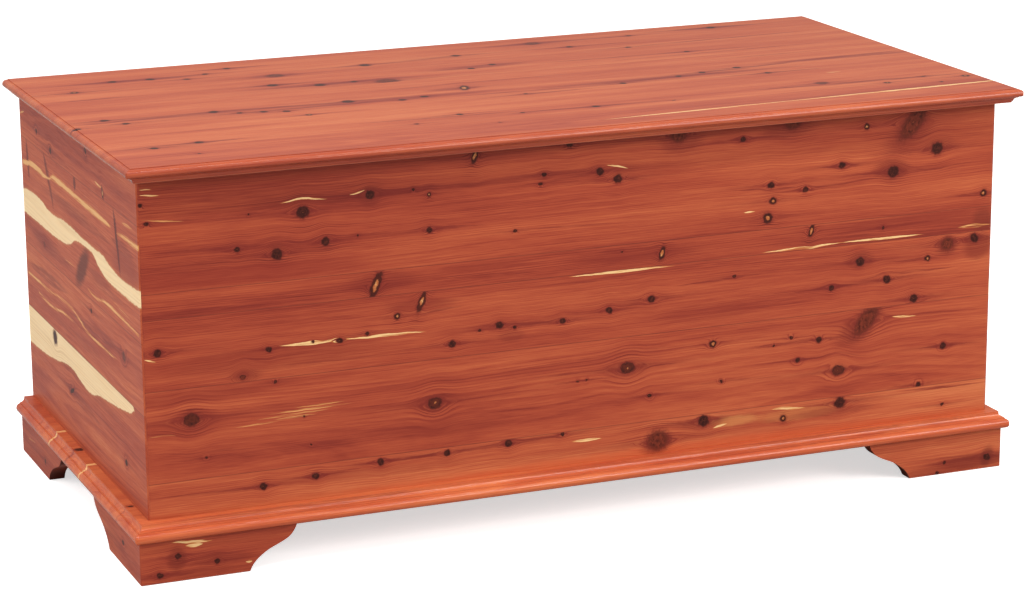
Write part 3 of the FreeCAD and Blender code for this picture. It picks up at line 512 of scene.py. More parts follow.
# ============================================================ the front
FRONT_SEAMS = [73.0, 115.6, 225.2, 309.0, 339.6, 473.4]
FRONT = {
    1: dict(tone=0.30, pith=(-60.0, -50.0), ring=3.4, knots=[
        (-411.8, 96.9, 4.8, "D"), (-347.2, 101.1, 4.9, "D"), (-266.9, 108.1, 5.0, "D"),
        (-183.5, 108.4, 4.4, "D"), (-105.1, 110.2, 5.1, "D"), (-35.3, 113.0, 2.9, "D"),
        (90.9, 89.7, 13.0, "B"), (152.7, 107.0, 8.0, "D"), (261.5, 96.8, 4.1, "L"),
        (339.9, 108.1, 8.0, "D"), (485.6, 88.2, 2.1, "T")],
        cream=[((-24.9, 102.1), (16.9, 101.8), 2.6, 0.9), ((242.4, 110.4), (293.3, 106.8), 2.7, 0.9),
               ((164.8, 98.5), (185.1, 99.8), 2.4, 0.8)],
        # painted reflection: the first patch, a wide red-orange band low on this board, stands in for light bounced up
        # off the base ledge
        patches=[(120, 74, 430, 9, 0, 0.42, (0.58, 0.100, 0.032)), (195, 102, 32, 7, 0, 0.50, (0.56, 0.230, 0.075)),
                 (90, 86, 22, 13, 0.3, 0.55, (0.18, 0.022, 0.013)), (150, 104, 34, 8, 0, 0.5, (0.19, 0.024, 0.014)),
                 (-270, 96, 120, 7, 0, 0.3, (0.22, 0.025, 0.015)), (280, 100, 60, 8, 0, 0.4, (0.52, 0.19, 0.06)),
                 (330, 98, 60, 6, 0, 0.5, (0.2, 0.022, 0.014))],
        red=[((-548, 99), (-380, 96), 1.8, 0.6), ((-400, 100), (-280, 104), 1.6, 0.7), ((-290, 108), (-150, 109), 1.6, 0.7),
             ((-160, 110), (-20, 112), 1.6, 0.7), ((60, 104), (200, 108), 1.8, 0.7), ((420, 112), (549, 110), 1.8, 0.8)]),
    2: dict(tone=0.42, pith=(120.0, -170.0), ring=3.0, knots=[
        (-495.1, 187.6, 9.5, "E"), (-479.2, 140.3, 1.8, "T"), (-393.9, 220.8, 1.8, "T"),
        (-360.1, 175.5, 1.2, "T"), (-351.8, 140.1, 1.2, "T"), (-198.0, 171.8, 8.8, "P"),
        (-15.3, 176.7, 1.3, "T"), (-3.5, 177.2, 1.3, "T"), (50.0, 186.4, 9.2, "P"),
        (79.9, 147.8, 2.7, "D"), (163.8, 203.2, 4.0, "L"), (176.0, 154.7, 2.0, "T"),
        (247.1, 191.7, 1.4, "T"), (270.5, 199.3, 2.1, "T"), (279.9, 169.7, 3.4, "D"),
        (309.2, 192.6, 4.2, "D"), (336.7, 150.2, 8.4, "E"), (374.4, 209.9, 14.0, "S"),
        (484.7, 165.3, 4.7, "D"), (450.5, 118.5, 4.0, "D")],
        yellow=[((-418.0, 178.0), (-330.0, 180.5), 1.7, 0.85), ((-405.0, 182.5), (-300.0, 184.5), 1.7, 0.85),
                ((-402.0, 175.3), (-345.0, 176.6), 1.4, 0.8), ((-372.0, 186.8), (-310.0, 187.6), 1.2, 0.75),
                ((-445.0, 171.5), (-385.0, 173.6), 1.2, 0.65), ((-548.0, 172.0), (-512.0, 174.0), 1.3, 0.6)],
        cream=[((410.1, 210.6), (445.5, 208.6), 1.7, 0.8)],
        patches=[(366, 203, 26, 24, 0.8, 0.55, (0.17, 0.020, 0.012)), (-495, 186, 34, 14, 0, 0.35, (0.19, 0.022, 0.013)),
                 (50, 186, 30, 12, 0, 0.45, (0.18, 0.02, 0.012)), (-198, 172, 30, 11, 0, 0.35, (0.19, 0.022, 0.013)),
                 (-500, 215, 120, 8, 0, 0.35, (0.2, 0.021, 0.013)), (-180, 140, 90, 10, 0, 0.3, (0.2, 0.022, 0.013))],
        red=[((-548, 152), (-400, 143), 1.4, 0.5), ((60, 186), (130, 185), 1.6, 0.8), ((-90, 188), (40, 187), 1.4, 0.6),
             ((200, 192), (330, 196), 1.3, 0.6), ((230, 170), (380, 169), 1.3, 0.6), ((330, 213), (545, 208), 1.5, 0.6),
             ((150, 155), (260, 152), 1.2, 0.5), ((440, 166), (545, 164), 1.4, 0.6), ((-120, 200), (120, 207), 1.3, 0.5),
             ((-130, 152), (-60, 150), 1.4, 0.7)]),
    3: dict(tone=0.45, pith=(420.0, -60.0), ring=2.8, knots=[
        (-532.4, 270.2, 5.3, "D"), (-432.5, 230.5, 6.0, "W"), (-400.8, 260.5, 3.6, "D"),
        (-347.2, 263.5, 1.8, "T"), (-314.7, 261.5, 3.7, "D"), (-280.6, 266.1, 2.5, "T"),
        (-243.1, 282.9, 3.7, "L"), (-212.9, 297.2, 6.0, "O"), (-175.5, 241.4, 5.1, "D"),
        (-140.6, 254.2, 1.9, "T"), (-115.5, 257.9, 5.1, "D"), (-95.8, 253.6, 1.9, "T"),
        (-34.2, 253.8, 4.3, "D"), (26.0, 260.6, 4.6, "D"), (81.2, 268.8, 5.3, "D"),
        (191.9, 285.6, 2.0, "T"), (324.9, 257.1, 4.2, "D"), (364.2, 285.9, 6.5, "D"),
        (401.9, 260.0, 5.6, "D"), (440.8, 231.5, 6.0, "D"), (459.2, 280.9, 3.6, "L"),
        (486.5, 296.7, 8.6, "B"), (524.9, 300.6, 6.5, "D")],
        cream=[((-388.7, 262.7), (-314.0, 262.1), 2.7, 0.95), ((-314.0, 262.1), (-206.9, 261.5), 2.2, 0.95),
               ((-30.0, 307.2), (113.3, 306.9), 2.1, 0.95), ((-548.9, 265.0), (-533.6, 263.3), 1.4, 0.9)],
        patches=[(-400, 250, 150, 16, 0, 0.40, (0.19, 0.019, 0.012)), (-430, 232, 20, 8, 0, 0.4, (0.16, 0.018, 0.011)),
                 (-214, 293, 46, 8, 0, 0.5, (0.19, 0.020, 0.013)), (-100, 243, 18, 8, 0, 0.35, (0.17, 0.02, 0.012)),
                 (486, 294, 16, 12, 0, 0.5, (0.15, 0.018, 0.011)), (530, 290, 22, 18, 0, 0.55, (0.16, 0.018, 0.011)),
                 (364, 288, 20, 10, 0, 0.45, (0.17, 0.020, 0.012)), (160, 245, 90, 12, 0, 0.35, (0.2, 0.02, 0.013))],
        red=[((-450, 249), (-330, 253), 1.8, 0.7), ((-260, 281), (-150, 287), 1.7, 0.8), ((-150, 257), (0, 254), 1.5, 0.7),
             ((0, 262), (120, 268), 1.6, 0.7), ((110, 281), (230, 285), 1.6, 0.85), ((270, 256), (370, 259), 1.8, 0.85),
             ((360, 264), (500, 268), 1.8, 0.8), ((390, 279), (480, 282), 1.5, 0.7), ((-548, 270), (-500, 271), 2.2, 0.7),
             ((420, 230), (470, 229), 2.0, 0.8), ((-60, 300), (60, 298), 1.2, 0.5), ((-400, 240), (-200, 236), 1.4, 0.5)]),
    4: dict(tone=0.55, pith=(180.0, -50.0), ring=3.6, knots=[
        (-269.0, 322.3, 8.0, "O"), (42.3, 330.7, 1.3, "T"), (95.3, 324.1, 5.4, "C"),
        (296.3, 332.1, 5.0, "C"), (395.0, 326.0, 2.0, "T")],
        cream=[((228.2, 311.0), (344.8, 313.2), 2.0, 0.95), ((330.0, 313.2), (457.6, 312.3), 1.9, 0.95),
               ((500.0, 316.0), (549.5, 316.5), 3.2, 0.7)],
        patches=[(-262, 326, 50, 12, 0, 0.5, (0.19, 0.020, 0.013)), (60, 326, 90, 12, 0, 0.45, (0.20, 0.022, 0.013)),
                 (440, 330, 120, 9, 0, 0.40, (0.19, 0.020, 0.013)), (536, 322, 16, 16, 0, 0.5, (0.14, 0.02, 0.012)),
                 (-130, 331, 60, 5, 0, 0.35, (0.2, 0.022, 0.014))],
        red=[((-548, 318), (-380, 314), 1.6, 0.6), ((-200, 322), (-60, 318), 2.0, 0.7), ((310, 324), (500, 330), 1.8, 0.6),
             ((0, 334), (100, 331), 1.8, 0.7)]),
    5: dict(tone=0.44, pith=(560.0, -70.0), ring=3.1, knots=[
        (-546.4, 443.1, 2.4, "T"), (-539.5, 421.5, 2.4, "T"), (-435.0, 381.9, 3.6, "D"),
        (-420.2, 421.5, 1.2, "T"), (-387.9, 371.8, 7.3, "D"), (-355.8, 417.7, 8.2, "D"),
        (-329.1, 380.7, 5.5, "D"), (-289.6, 383.8, 1.2, "T"), (-274.4, 430.1, 6.2, "D"),
        (-220.7, 431.6, 1.9, "T"), (-202.2, 381.9, 4.2, "D"), (-201.9, 423.9, 2.5, "L"),
        (-144.7, 464.4, 5.7, "C"), (-94.2, 370.5, 1.9, "T"), (-62.0, 423.7, 1.9, "T"),
        (-57.6, 434.6, 3.2, "D"), (-24.9, 468.0, 4.4, "D"), (14.1, 431.5, 5.2, "D"),
        (37.0, 420.7, 5.9, "D"), (116.3, 466.3, 9.4, "B"), (202.0, 454.3, 4.1, "D"),
        (236.4, 353.7, 5.7, "L"), (240.1, 394.2, 4.7, "D"), (243.2, 374.7, 4.1, "L"),
        (268.3, 469.2, 9.6, "B"), (287.0, 384.6, 4.1, "D"), (336.2, 410.1, 4.9, "D"),
        (369.2, 455.8, 3.5, "L"), (407.9, 396.1, 8.5, "D"), (433.9, 454.7, 15.0, "S"),
        (468.3, 419.7, 8.6, "D"), (536.1, 357.1, 4.3, "L")],
        cream=[((-547.4, 461.1), (-530.5, 459.8), 1.4, 0.85), ((-547.5, 454.8), (-520.7, 452.4), 1.2, 0.85),
               ((-386.0, 430.4), (-324.0, 430.2), 1.7, 0.95),
               ((-299.2, 432.4), (-279.4, 432.9), 1.2, 0.9), ((22.0, 436.3), (51.0, 431.2), 1.6, 0.9),
               ((203.3, 363.5), (219.6, 363.2), 1.4, 0.9)],
        yellow=[((-547.7, 425.8), (-495.7, 420.7), 1.1, 0.8)],
        patches=[(-430, 460, 150, 12, 0, 0.35, (0.20, 0.020, 0.012)), (-420, 352, 160, 12, 0, 0.45, (0.22, 0.022, 0.014)),
                 (405, 399, 26, 14, 0, 0.5, (0.16, 0.018, 0.011)), (262, 462, 36, 12, 0.5, 0.45, (0.17, 0.020, 0.012)),
                 (120, 458, 30, 14, 0, 0.45, (0.17, 0.020, 0.012)), (428, 440, 30, 26, 0.6, 0.5, (0.19, 0.022, 0.013)),
                 (-274, 428, 14, 12, 0, 0.4, (0.17, 0.020, 0.012)), (470, 422, 26, 10, 0, 0.35, (0.17, 0.02, 0.012))],
        red=[((-400, 430), (-180, 434), 1.6, 0.8), ((-548, 387), (-360, 383), 2.2, 0.8), ((-440, 383), (-240, 386), 1.8, 0.8),
             ((-230, 384), (-130, 382), 1.6, 0.8), ((-90, 424), (60, 432), 1.4, 0.6), ((20, 420), (90, 417), 1.6, 0.7),
             ((190, 392), (300, 387), 1.6, 0.8), ((250, 384), (420, 392), 1.4, 0.7), ((300, 410), (400, 408), 1.4, 0.7),
             ((380, 455), (440, 459), 1.4, 0.6), ((480, 357), (549, 356), 1.6, 0.7), ((140, 452), (260, 456), 1.5, 0.7),
             ((-548, 423), (-470, 421), 1.5, 0.6), ((330, 396), (530, 398), 1.6, 0.7), ((-100, 372), (60, 366), 1.2, 0.5)]),
}
# painted light: each front board's tone ramps lighter towards the right, most on the top and bottom boards, painted in
# for the key lamp from the front right and the shade under the lid at the top left
for k, s in FRONT.items():
    s["slope"] = {1: ((-550, 0.03), (550, -0.13)), 2: ((-550, 0.06), (550, -0.03)), 3: ((-550, 0.06), (550, -0.05)),
                  4: ((-550, 0.04), (550, 0.05)), 5: ((-550, 0.13), (550, -0.02))}[k]
    s.update(seed=1.0 + k * 1.37, bare=("y", 18.9, 1.0),
             seams=[z for z in FRONT_SEAMS[k - 1:k + 1] if 74 < z < 473])
    dress("front_board_%d" % k, cedar("front_%d" % k, "xzy", s))

# ========================================================== the left end
LEFT_SEAMS = [73.0, 197.0, 282.0, 419.3, 473.4]
LEFT = {
    1: dict(tone=0.36, pith=(110.0, -560.0 - 60), ring=3.4,
            knots=[(411.2, 186.5, 10.0, "D"), (334.2, 137.8, 6.0, "D", -1.6), (88.3, 117.0, 4.0, "T")],
            bands=[((0.0, 550.0),
                    [(0, 150), (30, 152), (42, 190), (60, 199.0), (150, 205.0), (400, 205.0), (550, 205.0)],
                    [(0, 160), (30, 190), (44, 191.5), (56, 186.0), (86, 181.0), (141, 173.5), (205, 167.0),
                     (248, 159.0), (292, 162.5), (330, 167.0), (407, 158.0), (478, 150.5), (550, 147.5)], 0.8)],
            red=[((60, 159), (430, 163), 6.0, 0.4), ((200, 130), (380, 140), 8.0, 0.4)]),
    2: dict(tone=0.36, pith=(240.0, -560.0 - 90), ring=3.0,
            knots=[(223.3, 267.1, 3.4, "D"), (81.2, 247.8, 6.0, "B")],
            ribbons=[[(105, 236.2, 0.3), (174, 234.7, 1.7), (239, 235.2, 2.1), (290, 243.0, 2.0), (342, 247.2, 1.9), (435, 242.3, 1.7),
                      (483, 241.6, 1.9), (548, 241.0, 1.9)],
                     [(280, 229.4, 0.3), (343, 231.8, 1.7), (397, 226.2, 1.7), (444, 224.6, 1.5), (492, 228.6, 0.4)]],
            red=[((70, 252), (330, 240), 7.0, 0.6), ((330, 262), (545, 254), 8.0, 0.6),
                 ((120, 214), (420, 216), 6.0, 0.4)]),
    3: dict(tone=0.36, pith=(350.0, -560.0 - 50), ring=3.1,
            knots=[(445.0, 299.0, 3.0, "B")],
            bands=[((0.0, 550.0),
                    [(0, 344.5), (41, 342.0), (78, 340.6), (115, 343.0), (140, 346.6), (165, 350.5), (191, 349.6),
                     (231, 349.8), (277, 350.5), (311, 352.4), (346, 351.8), (381, 348.5), (417, 348.7),
                     (453, 353.5), (490, 354.6), (550, 349.0)],
                    [(0, 324.8), (41, 323.0), (78, 323.0), (116, 323.2), (144, 324.6), (165, 328.2), (185, 333.5),
                     (200, 340.0), (214, 342.6), (244, 342.4), (281, 340.1), (312, 329.2), (347, 323.3),
                     (382, 321.6), (454, 320.7), (550, 320.0)], 0.9)],
            ribbons=[[(112, 393, 0.3), (150, 394, 3.2), (190, 395, 4.2), (230, 395.6, 4.2), (270, 396, 3.6), (310, 396.5, 4.2),
                      (350, 397.3, 4.6), (385, 396.5, 3.4), (405, 391.5, 2.2), (430, 389.5, 3.4), (455, 391.5, 4.4),
                      (490, 391.5, 4.6), (520, 388, 4.2), (550, 384, 3.2)],
                     [(0, 394.4, 3.6), (40, 394.0, 3.4), (70, 393.2, 2.6), (94, 392.8, 0.4)],
                     [(8, 291, 1.6), (77, 292.5, 1.9), (145, 293.8, 2.2), (208, 289.8, 1.9), (240, 295.6, 0.6)]],
            yellow=[((22.0, 411.8), (68.0, 409.6), 2.6, 0.8), ((280.0, 306.0), (345.0, 303.0), 1.6, 0.6),
                    ((40.0, 300.0), (130.0, 305.0), 1.5, 0.5)],
            patches=[(258, 312, 22, 30, -0.9, 0.85, (0.115, 0.018, 0.009)), (93, 381, 4.5, 38, 0.28, 0.9, (0.10, 0.014, 0.008)),
                     (411, 390, 6, 32, 0.68, 0.75, (0.14, 0.020, 0.010)), (515, 394, 6, 26, 0.14, 0.7, (0.14, 0.020, 0.010)),
                     (279, 412, 6, 9, 0, 0.8, (0.12, 0.018, 0.010)), (180, 318, 60, 6, 0, 0.4, (0.19, 0.022, 0.014)), (445, 300, 60, 14, 0, 0.35, (0.19, 0.022, 0.014)),
                     (60, 360, 60, 22, 0, 0.35, (0.18, 0.020, 0.013)), (330, 372, 120, 8, 0, 0.35, (0.19, 0.022, 0.014))],
            red=[((430, 419), (399, 389), 3.6, 0.9), ((401, 392), (391, 352), 3.0, 0.7),
                 ((519, 419), (511, 366), 3.6, 0.85), ((279, 419), (279, 402), 4.5, 0.9),
                 ((104, 419), (89, 391), 4.0, 0.95), ((90, 394), (83, 340), 3.8, 0.95),
                 ((110, 372), (400, 376), 8.0, 0.45), ((20, 378), (120, 380), 8.0, 0.6),
                 ((300, 298), (540, 306), 9.0, 0.45), ((60, 311), (250, 308), 6.0, 0.4)]),
    4: dict(tone=0.42, pith=(470.0, -560.0 - 120), ring=3.6,
            knots=[(461.6, 440.4, 3.4, "D"), (393.2, 428.9, 4.6, "D"), (220.8, 463.0, 4.4, "D"), (148.0, 427.1, 4.4, "C")],
            cream=[((150.0, 430.6), (186.0, 435.0), 1.6, 0.7), ((520.0, 455.0), (548.0, 447.0), 1.6, 0.6)],
            red=[((20, 440), (200, 444), 5.0, 0.4), ((300, 424), (470, 430), 6.0, 0.4)]),
}
for k, s in LEFT.items():
    s.update(seed=20.0 + k * 1.71, bare=("x", -531.1, 1.0),
             seams=[z for z in LEFT_SEAMS[k - 1:k + 1] if 74 < z < 473])
    dress("left_end_board_%d" % k, cedar("left_%d" % k, "yzx", s))

# ===================================================== right end and back
RIGHT_SEAMS = [73.0, 162.0, 268.0, 391.0, 473.4]
for k in range(1, 5):
    lo, hi = RIGHT_SEAMS[k - 1], RIGHT_SEAMS[k]
    s = dict(seed=40.0 + k * 2.3, tone=(0.36, 0.45, 0.38, 0.42)[k - 1], ring=(3.0, 3.4, 2.8, 3.6)[k - 1],
             pith=(lo + (hi - lo) * (0.3, 1.3, 0.5, -0.4)[k - 1], 550.0 + (60, 110, 45, 90)[k - 1]),
             knots=scatter(400 + k, 9, 20, 530, lo, hi), bare=("x", 531.1, -1.0),
             seams=[z for z in (lo, hi) if 74 < z < 473])
    if k == 2:
        s["bands"] = [((0.0, 550.0), [(0, 246.0), (110, 243.0), (190, 236.0), (260, 241.0), (340, 238.0), (440, 225.0), (500, 214.0), (550, 206.0)],
                       [(0, 224.0), (90, 222.0), (160, 226.0), (210, 229.0), (300, 222.0), (380, 218.0), (450, 213.0), (500, 210.0), (550, 214.0)], 0.8)]
    if k == 3:
        s["yellow"] = [((40, 352), (260, 346), 2.6, 0.8), ((300, 330), (520, 338), 2.2, 0.8)]
        s["red"] = [((30, 300), (400, 306), 7.0, 0.5)]
    dress("right_end_board_%d" % k, cedar("right_%d" % k, "yzx", s))

BACK_SEAMS = [73.0, 181.0, 272.0, 385.0, 473.4]
for k in range(1, 5):
    lo, hi = BACK_SEAMS[k - 1], BACK_SEAMS[k]
    s = dict(seed=60.0 + k * 1.9, tone=(0.38, 0.46, 0.34, 0.42)[k - 1], ring=(3.4, 2.9, 3.2, 3.0)[k - 1],
             pith=(lo + (hi - lo) * (1.2, 0.4, -0.3, 0.6)[k - 1], 550.0 + (80, 50, 120, 60)[k - 1]),
             knots=scatter(600 + k, 13, -530, 530, lo, hi), bare=("y", 531.1, -1.0),
             seams=[z for z in (lo, hi) if 74 < z < 473],
             red=[((-500, lo + 30), (-100, lo + 36), 6.0, 0.45), ((60, hi - 28), (480, hi - 34), 6.0, 0.45)])
    if k == 3:
        s["cream"] = [((-420, 300), (-120, 304), 3.2, 0.9), ((180, 352), (330, 350), 2.4, 0.9)]
    dress("back_board_%d" % k, cedar("back_%d" % k, "xzy", s))

# ================================================================ the lid
LID_SEAMS = [-33.0, 62.0, 198.4, 329.4, 417.0, 550.0]
LID = {
    1: dict(tone=0.36, pith=(10.0, 474.0 - 60), ring=3.0, knots=[
        (-470.0, 20.0, 2.0, "T"), (-95.0, 44.0, 1.8, "T"), (500.0, 50.0, 2.4, "T")],
        cream=[((10.0, 7.0), (300.0, 19.6), 1.5, 0.85), ((240.0, 17.0), (640.0, 33.6), 2.3, 0.95)],
        red=[((100.0, 20.0), (560.0, 38.0), 5.0, 0.35)]),
    2: dict(tone=0.24, pith=(0.0, 474.0 - 60), ring=3.3, knots=[
        (-508.4, 68.4, 5.5, "D"), (-452.2, 79.0, 5.5, "D"), (-286.3, 177.4, 3.6, "L"),
        (-188.1, 73.6, 3.0, "T"), (-121.5, 106.3, 4.6, "D"), (-49.5, 84.6, 2.6, "T"),
        (-1.8, 190.3, 3.4, "D"), (45.5, 84.1, 5.0, "D"), (146.1, 79.7, 2.2, "T"),
        (329.9, 191.0, 5.0, "D"), (360.7, 103.1, 7.5, "B"), (435.8, 72.0, 4.0, "L"),
        (497.4, 91.1, 3.4, "D"), (547.5, 72.0, 4.6, "L")],
        cream=[((394.1, 161.6), (420.0, 161.5), 1.6, 0.8)],
        red=[((-575, 72), (-380, 80), 3.5, 0.8), ((-260, 104), (-20, 94), 3.5, 0.8), ((-60, 88), (150, 82), 3.5, 0.8),
             ((240, 98), (570, 86), 6.0, 0.8), ((-80, 184), (120, 192), 3.0, 0.6), ((-360, 176), (-200, 179), 2.5, 0.6),
             ((250, 190), (420, 193), 3.0, 0.7), ((-540, 140), (-300, 146), 2.0, 0.5)]),
    3: dict(tone=0.26, pith=(420.0, 474.0 - 60), ring=2.9, knots=[
        (-562.2, 207.5, 5.0, "D"), (-519.5, 243.1, 5.5, "D"), (-500.8, 215.7, 5.0, "D"),
        (-385.9, 240.2, 6.5, "D"), (-359.1, 221.7, 4.5, "D"), (-330.5, 216.7, 5.0, "D"),
        (-304.3, 209.0, 5.0, "D"), (-217.5, 234.5, 8.0, "D"), (-153.6, 217.4, 5.0, "D"),
        (-121.4, 225.4, 5.0, "D"), (-57.0, 256.7, 8.5, "C"), (135.0, 203.7, 5.0, "D"),
        (217.5, 217.6, 5.0, "D"), (255.3, 227.6, 4.8, "D"), (310.0, 240.0, 5.0, "D")],
        patches=[(-420, 235, 150, 9, 0, 0.55, (0.21, 0.022, 0.015)), (-160, 226, 150, 10, 0, 0.55, (0.21, 0.022, 0.015)),
                 (200, 216, 180, 9, 0, 0.65, (0.20, 0.020, 0.014)), (470, 250, 130, 8, 0, 0.6, (0.20, 0.020, 0.014)),
                 (-70, 256, 40, 8, 0, 0.5, (0.19, 0.021, 0.014))],
        red=[((-575, 226), (-380, 238), 4.0, 0.7), ((-420, 240), (-200, 232), 4.0, 0.8), ((-360, 218), (-90, 226), 4.0, 0.8),
             ((-100, 212), (100, 204), 3.0, 0.7), ((60, 204), (300, 222), 4.5, 0.9), ((200, 224), (400, 244), 4.5, 0.9),
             ((330, 243), (575, 262), 4.5, 0.8), ((-200, 282), (120, 290), 2.5, 0.6), ((250, 300), (520, 306), 2.5, 0.5)]),
    4: dict(tone=0.25, pith=(160.0, 474.0 - 60), ring=3.5, knots=[
        (-269.4, 370.4, 7.5, "D"), (-214.5, 348.5, 8.0, "D"), (-168.3, 351.3, 5.0, "D"),
        (-128.5, 338.3, 13.0, "B"), (-2.1, 373.8, 5.0, "D"), (32.8, 388.8, 5.0, "D"),
        (300.4, 368.3, 4.0, "D")],
        patches=[(-190, 352, 110, 10, 0, 0.5, (0.21, 0.022, 0.015)), (10, 382, 70, 9, 0, 0.45, (0.21, 0.022, 0.015))],
        red=[((-575, 372), (-420, 376), 3.0, 0.7), ((-300, 372), (-220, 369), 3.0, 0.7), ((-260, 350), (-100, 352), 3.5, 0.7),
             ((-60, 376), (80, 386), 3.0, 0.7), ((80, 372), (420, 366), 2.5, 0.85), ((160, 348), (520, 356), 2.5, 0.75)]),
    5: dict(tone=0.27, pith=(700.0, 474.0 - 70), ring=3.1, knots=[
        (-508.5, 425.4, 5.0, "L"), (-446.8, 474.3, 6.0, "D"), (-398.8, 471.4, 6.0, "D"),
        (-356.0, 453.6, 4.5, "D"), (-324.4, 477.3, 4.5, "D"), (-288.4, 501.9, 5.0, "D"),
        (-246.8, 430.1, 10.0, "B"), (-118.2, 451.5, 8.0, "D"), (11.7, 464.9, 6.0, "D"),
        (137.7, 506.2, 9.0, "B"), (173.4, 463.6, 5.0, "D"), (242.8, 428.7, 4.0, "D"),
        (278.1, 506.6, 4.0, "D"), (406.9, 518.7, 7.0, "D")],
        patches=[(-420, 472, 90, 9, 0, 0.5, (0.21, 0.022, 0.015)), (-246, 430, 36, 9, 0, 0.5, (0.21, 0.022, 0.015)),
                 (137, 506, 70, 9, 0, 0.5, (0.21, 0.022, 0.015)), (407, 518, 60, 9, 0, 0.5, (0.21, 0.022, 0.015))],
        red=[((-575, 422), (-440, 424), 2.6, 0.9), ((-500, 474), (-340, 473), 3.5, 0.8), ((-340, 500), (-220, 503), 3.0, 0.7),
             ((-160, 452), (60, 462), 3.0, 0.7), ((60, 506), (300, 506), 3.5, 0.8), ((200, 428), (560, 446), 2.5, 0.8),
             ((300, 520), (520, 516), 3.5, 0.8), ((100, 464), (280, 462), 2.5, 0.7)]),
}
for k, s in LID.items():
    s["contrast"] = 0.90
    s["gloss"] = True
    if k == 1:
        s["cream"] = [(a, b, wd_ * 1.8, 1.0) for a, b, wd_, gn in s["cream"]]
    s.update(seed=80.0 + k * 1.43, bare=("z", 474.1, -1.0), seam_dark=0.3,
             seams=[y for y in LID_SEAMS[k - 1:k + 1] if 0 < y < 549])
    dress("lid_board_%d" % k, cedar("lid_%d" % k, "xyz", s))

# =============================================================== the base
BASE_SEAMS = [-22.5, 92.0, 211.0, 334.0, 446.0, 550.0]
BASE = {
    1: dict(tone=0.17, pith=(30.0, 52.0 - 70), ring=3.0,
            knots=[(-555.0, 60.0, 3.0, "T")],
            red=[((-560, -14), (-200, -12), 4.0, 0.4), ((60, -16), (560, -12), 4.0, 0.4)]),
    2: dict(tone=0.13, pith=(150.0, 52.0 - 50), ring=3.2, knots=scatter(801, 6, -520, 520, 95, 208)),
    3: dict(tone=0.16, pith=(270.0, 52.0 - 90), ring=2.8,
            knots=[(-554.2, 297.0, 6.0, "D")] + scatter(802, 5, -500, 520, 215, 330),
            cream=[((-600.0, 233.4), (-500.0, 231.4), 4.4, 0.95)]),
    4: dict(tone=0.20, pith=(400.0, 52.0 - 60), ring=3.4, knots=scatter(803, 6, -500, 520, 338, 442),
            cream=[((-600.0, 378.0), (-500.0, 379.0), 4.4, 0.95)]),
    5: dict(tone=0.36, pith=(480.0, 52.0 - 80), ring=3.1, knots=scatter(804, 6, -500, 520, 450, 546)),
}
# partly painted light: the base boards' lighter, redder colour is partly their own and partly stands in for the red
# glow of light bounced between the ledge and the carcass
for k, s in BASE.items():
    s.update(seed=110.0 + k * 1.31, tint=(1.10, 0.96, 0.86), seam_dark=0.35, end=0.0, gloss=True,
             seams=[y for y in BASE_SEAMS[k - 1:k + 1] if 0 < y < 549])
    dress("base_board_%d" % k, cedar("base_%d" % k, "xyz", s))

# =============================================================== the feet
feet = {
    "front_left_foot_front": ("xzy", dict(tone=0.52, pith=(140.0, -50.0), knots=[
        (-474.1, 18.2, 3.6, "D"), (-542.8, 9.9, 3.8, "D"), (-520.3, 30.5, 4.2, "D")],
        cream=[((-528.0, 47.0), (-478.0, 44.0), 3.0, 0.9), ((-512.0, 41.0), (-490.0, 41.5), 3.4, 0.9), ((-440.0, 12.2), (-431.0, 12.8), 2.2, 0.9)],
        patches=[(-522, 26, 12, 16, 0, 0.5, (0.15, 0.018, 0.010)), (-470, 20, 40, 8, 0, 0.4, (0.17, 0.020, 0.012)),
                 (-500, 8, 60, 6, 0, 0.35, (0.18, 0.022, 0.013))],
        red=[((-566, 22), (-430, 27), 2.0, 0.7), ((-560, 10), (-500, 8), 2.0, 0.6)])),
    "front_left_foot_side": ("yzx", dict(tone=0.46, pith=(10.0, -640.0), knots=[(60.0, 30.0, 3.0, "T")],
                                         red=[((0, 18), (180, 24), 6.0, 0.5)])),
    "back_left_foot_side": ("yzx", dict(tone=0.48, pith=(60.0, -620.0), knots=[(430.0, 20.0, 3.0, "T")],
                                        yellow=[((480.0, 30.0), (520.0, 26.0), 1.4, 0.7)])),
    "back_left_foot_back": ("xzy", dict(tone=0.42, pith=(-40.0, 620.0))),
    "front_right_foot_front": ("xzy", dict(tone=0.36, pith=(140.0, -50.0), knots=[
        (545.6, 14.8, 5.2, "D"), (473.7, 2.5, 2.4, "T"), (483.8, 14.6, 2.4, "T")],
        patches=[(528, 12, 62, 10, 0, 0.7, (0.17, 0.020, 0.012)), (470, 6, 60, 6, 0, 0.45, (0.19, 0.022, 0.013)),
                 (545, 16, 9, 14, 0.2, 0.5, (0.12, 0.016, 0.009))],
        red=[((440, 14), (566, 18), 2.0, 0.7), ((400, 22), (520, 20), 1.6, 0.5)])),
    "front_right_foot_side": ("yzx", dict(tone=0.42, pith=(70.0, 640.0), knots=[(110.0, 20.0, 3.4, "D")])),
    "back_right_foot_side": ("yzx", dict(tone=0.40, pith=(-30.0, 630.0), knots=[(420.0, 30.0, 3.0, "D")])),
    "back_right_foot_back": ("xzy", dict(tone=0.44, pith=(80.0, 640.0))),
}
for n, (name, (axes, s)) in enumerate(feet.items()):
    # painted shade: the feet's sawn ogee ends go near black, partly end grain and partly the shade under the chest
    s.update(end=0.9, end_color=(0.070, 0.013, 0.008))
    s.update(seed=140.0 + n * 1.9, ring=3.0)
    dress(name, cedar(name, axes, s))

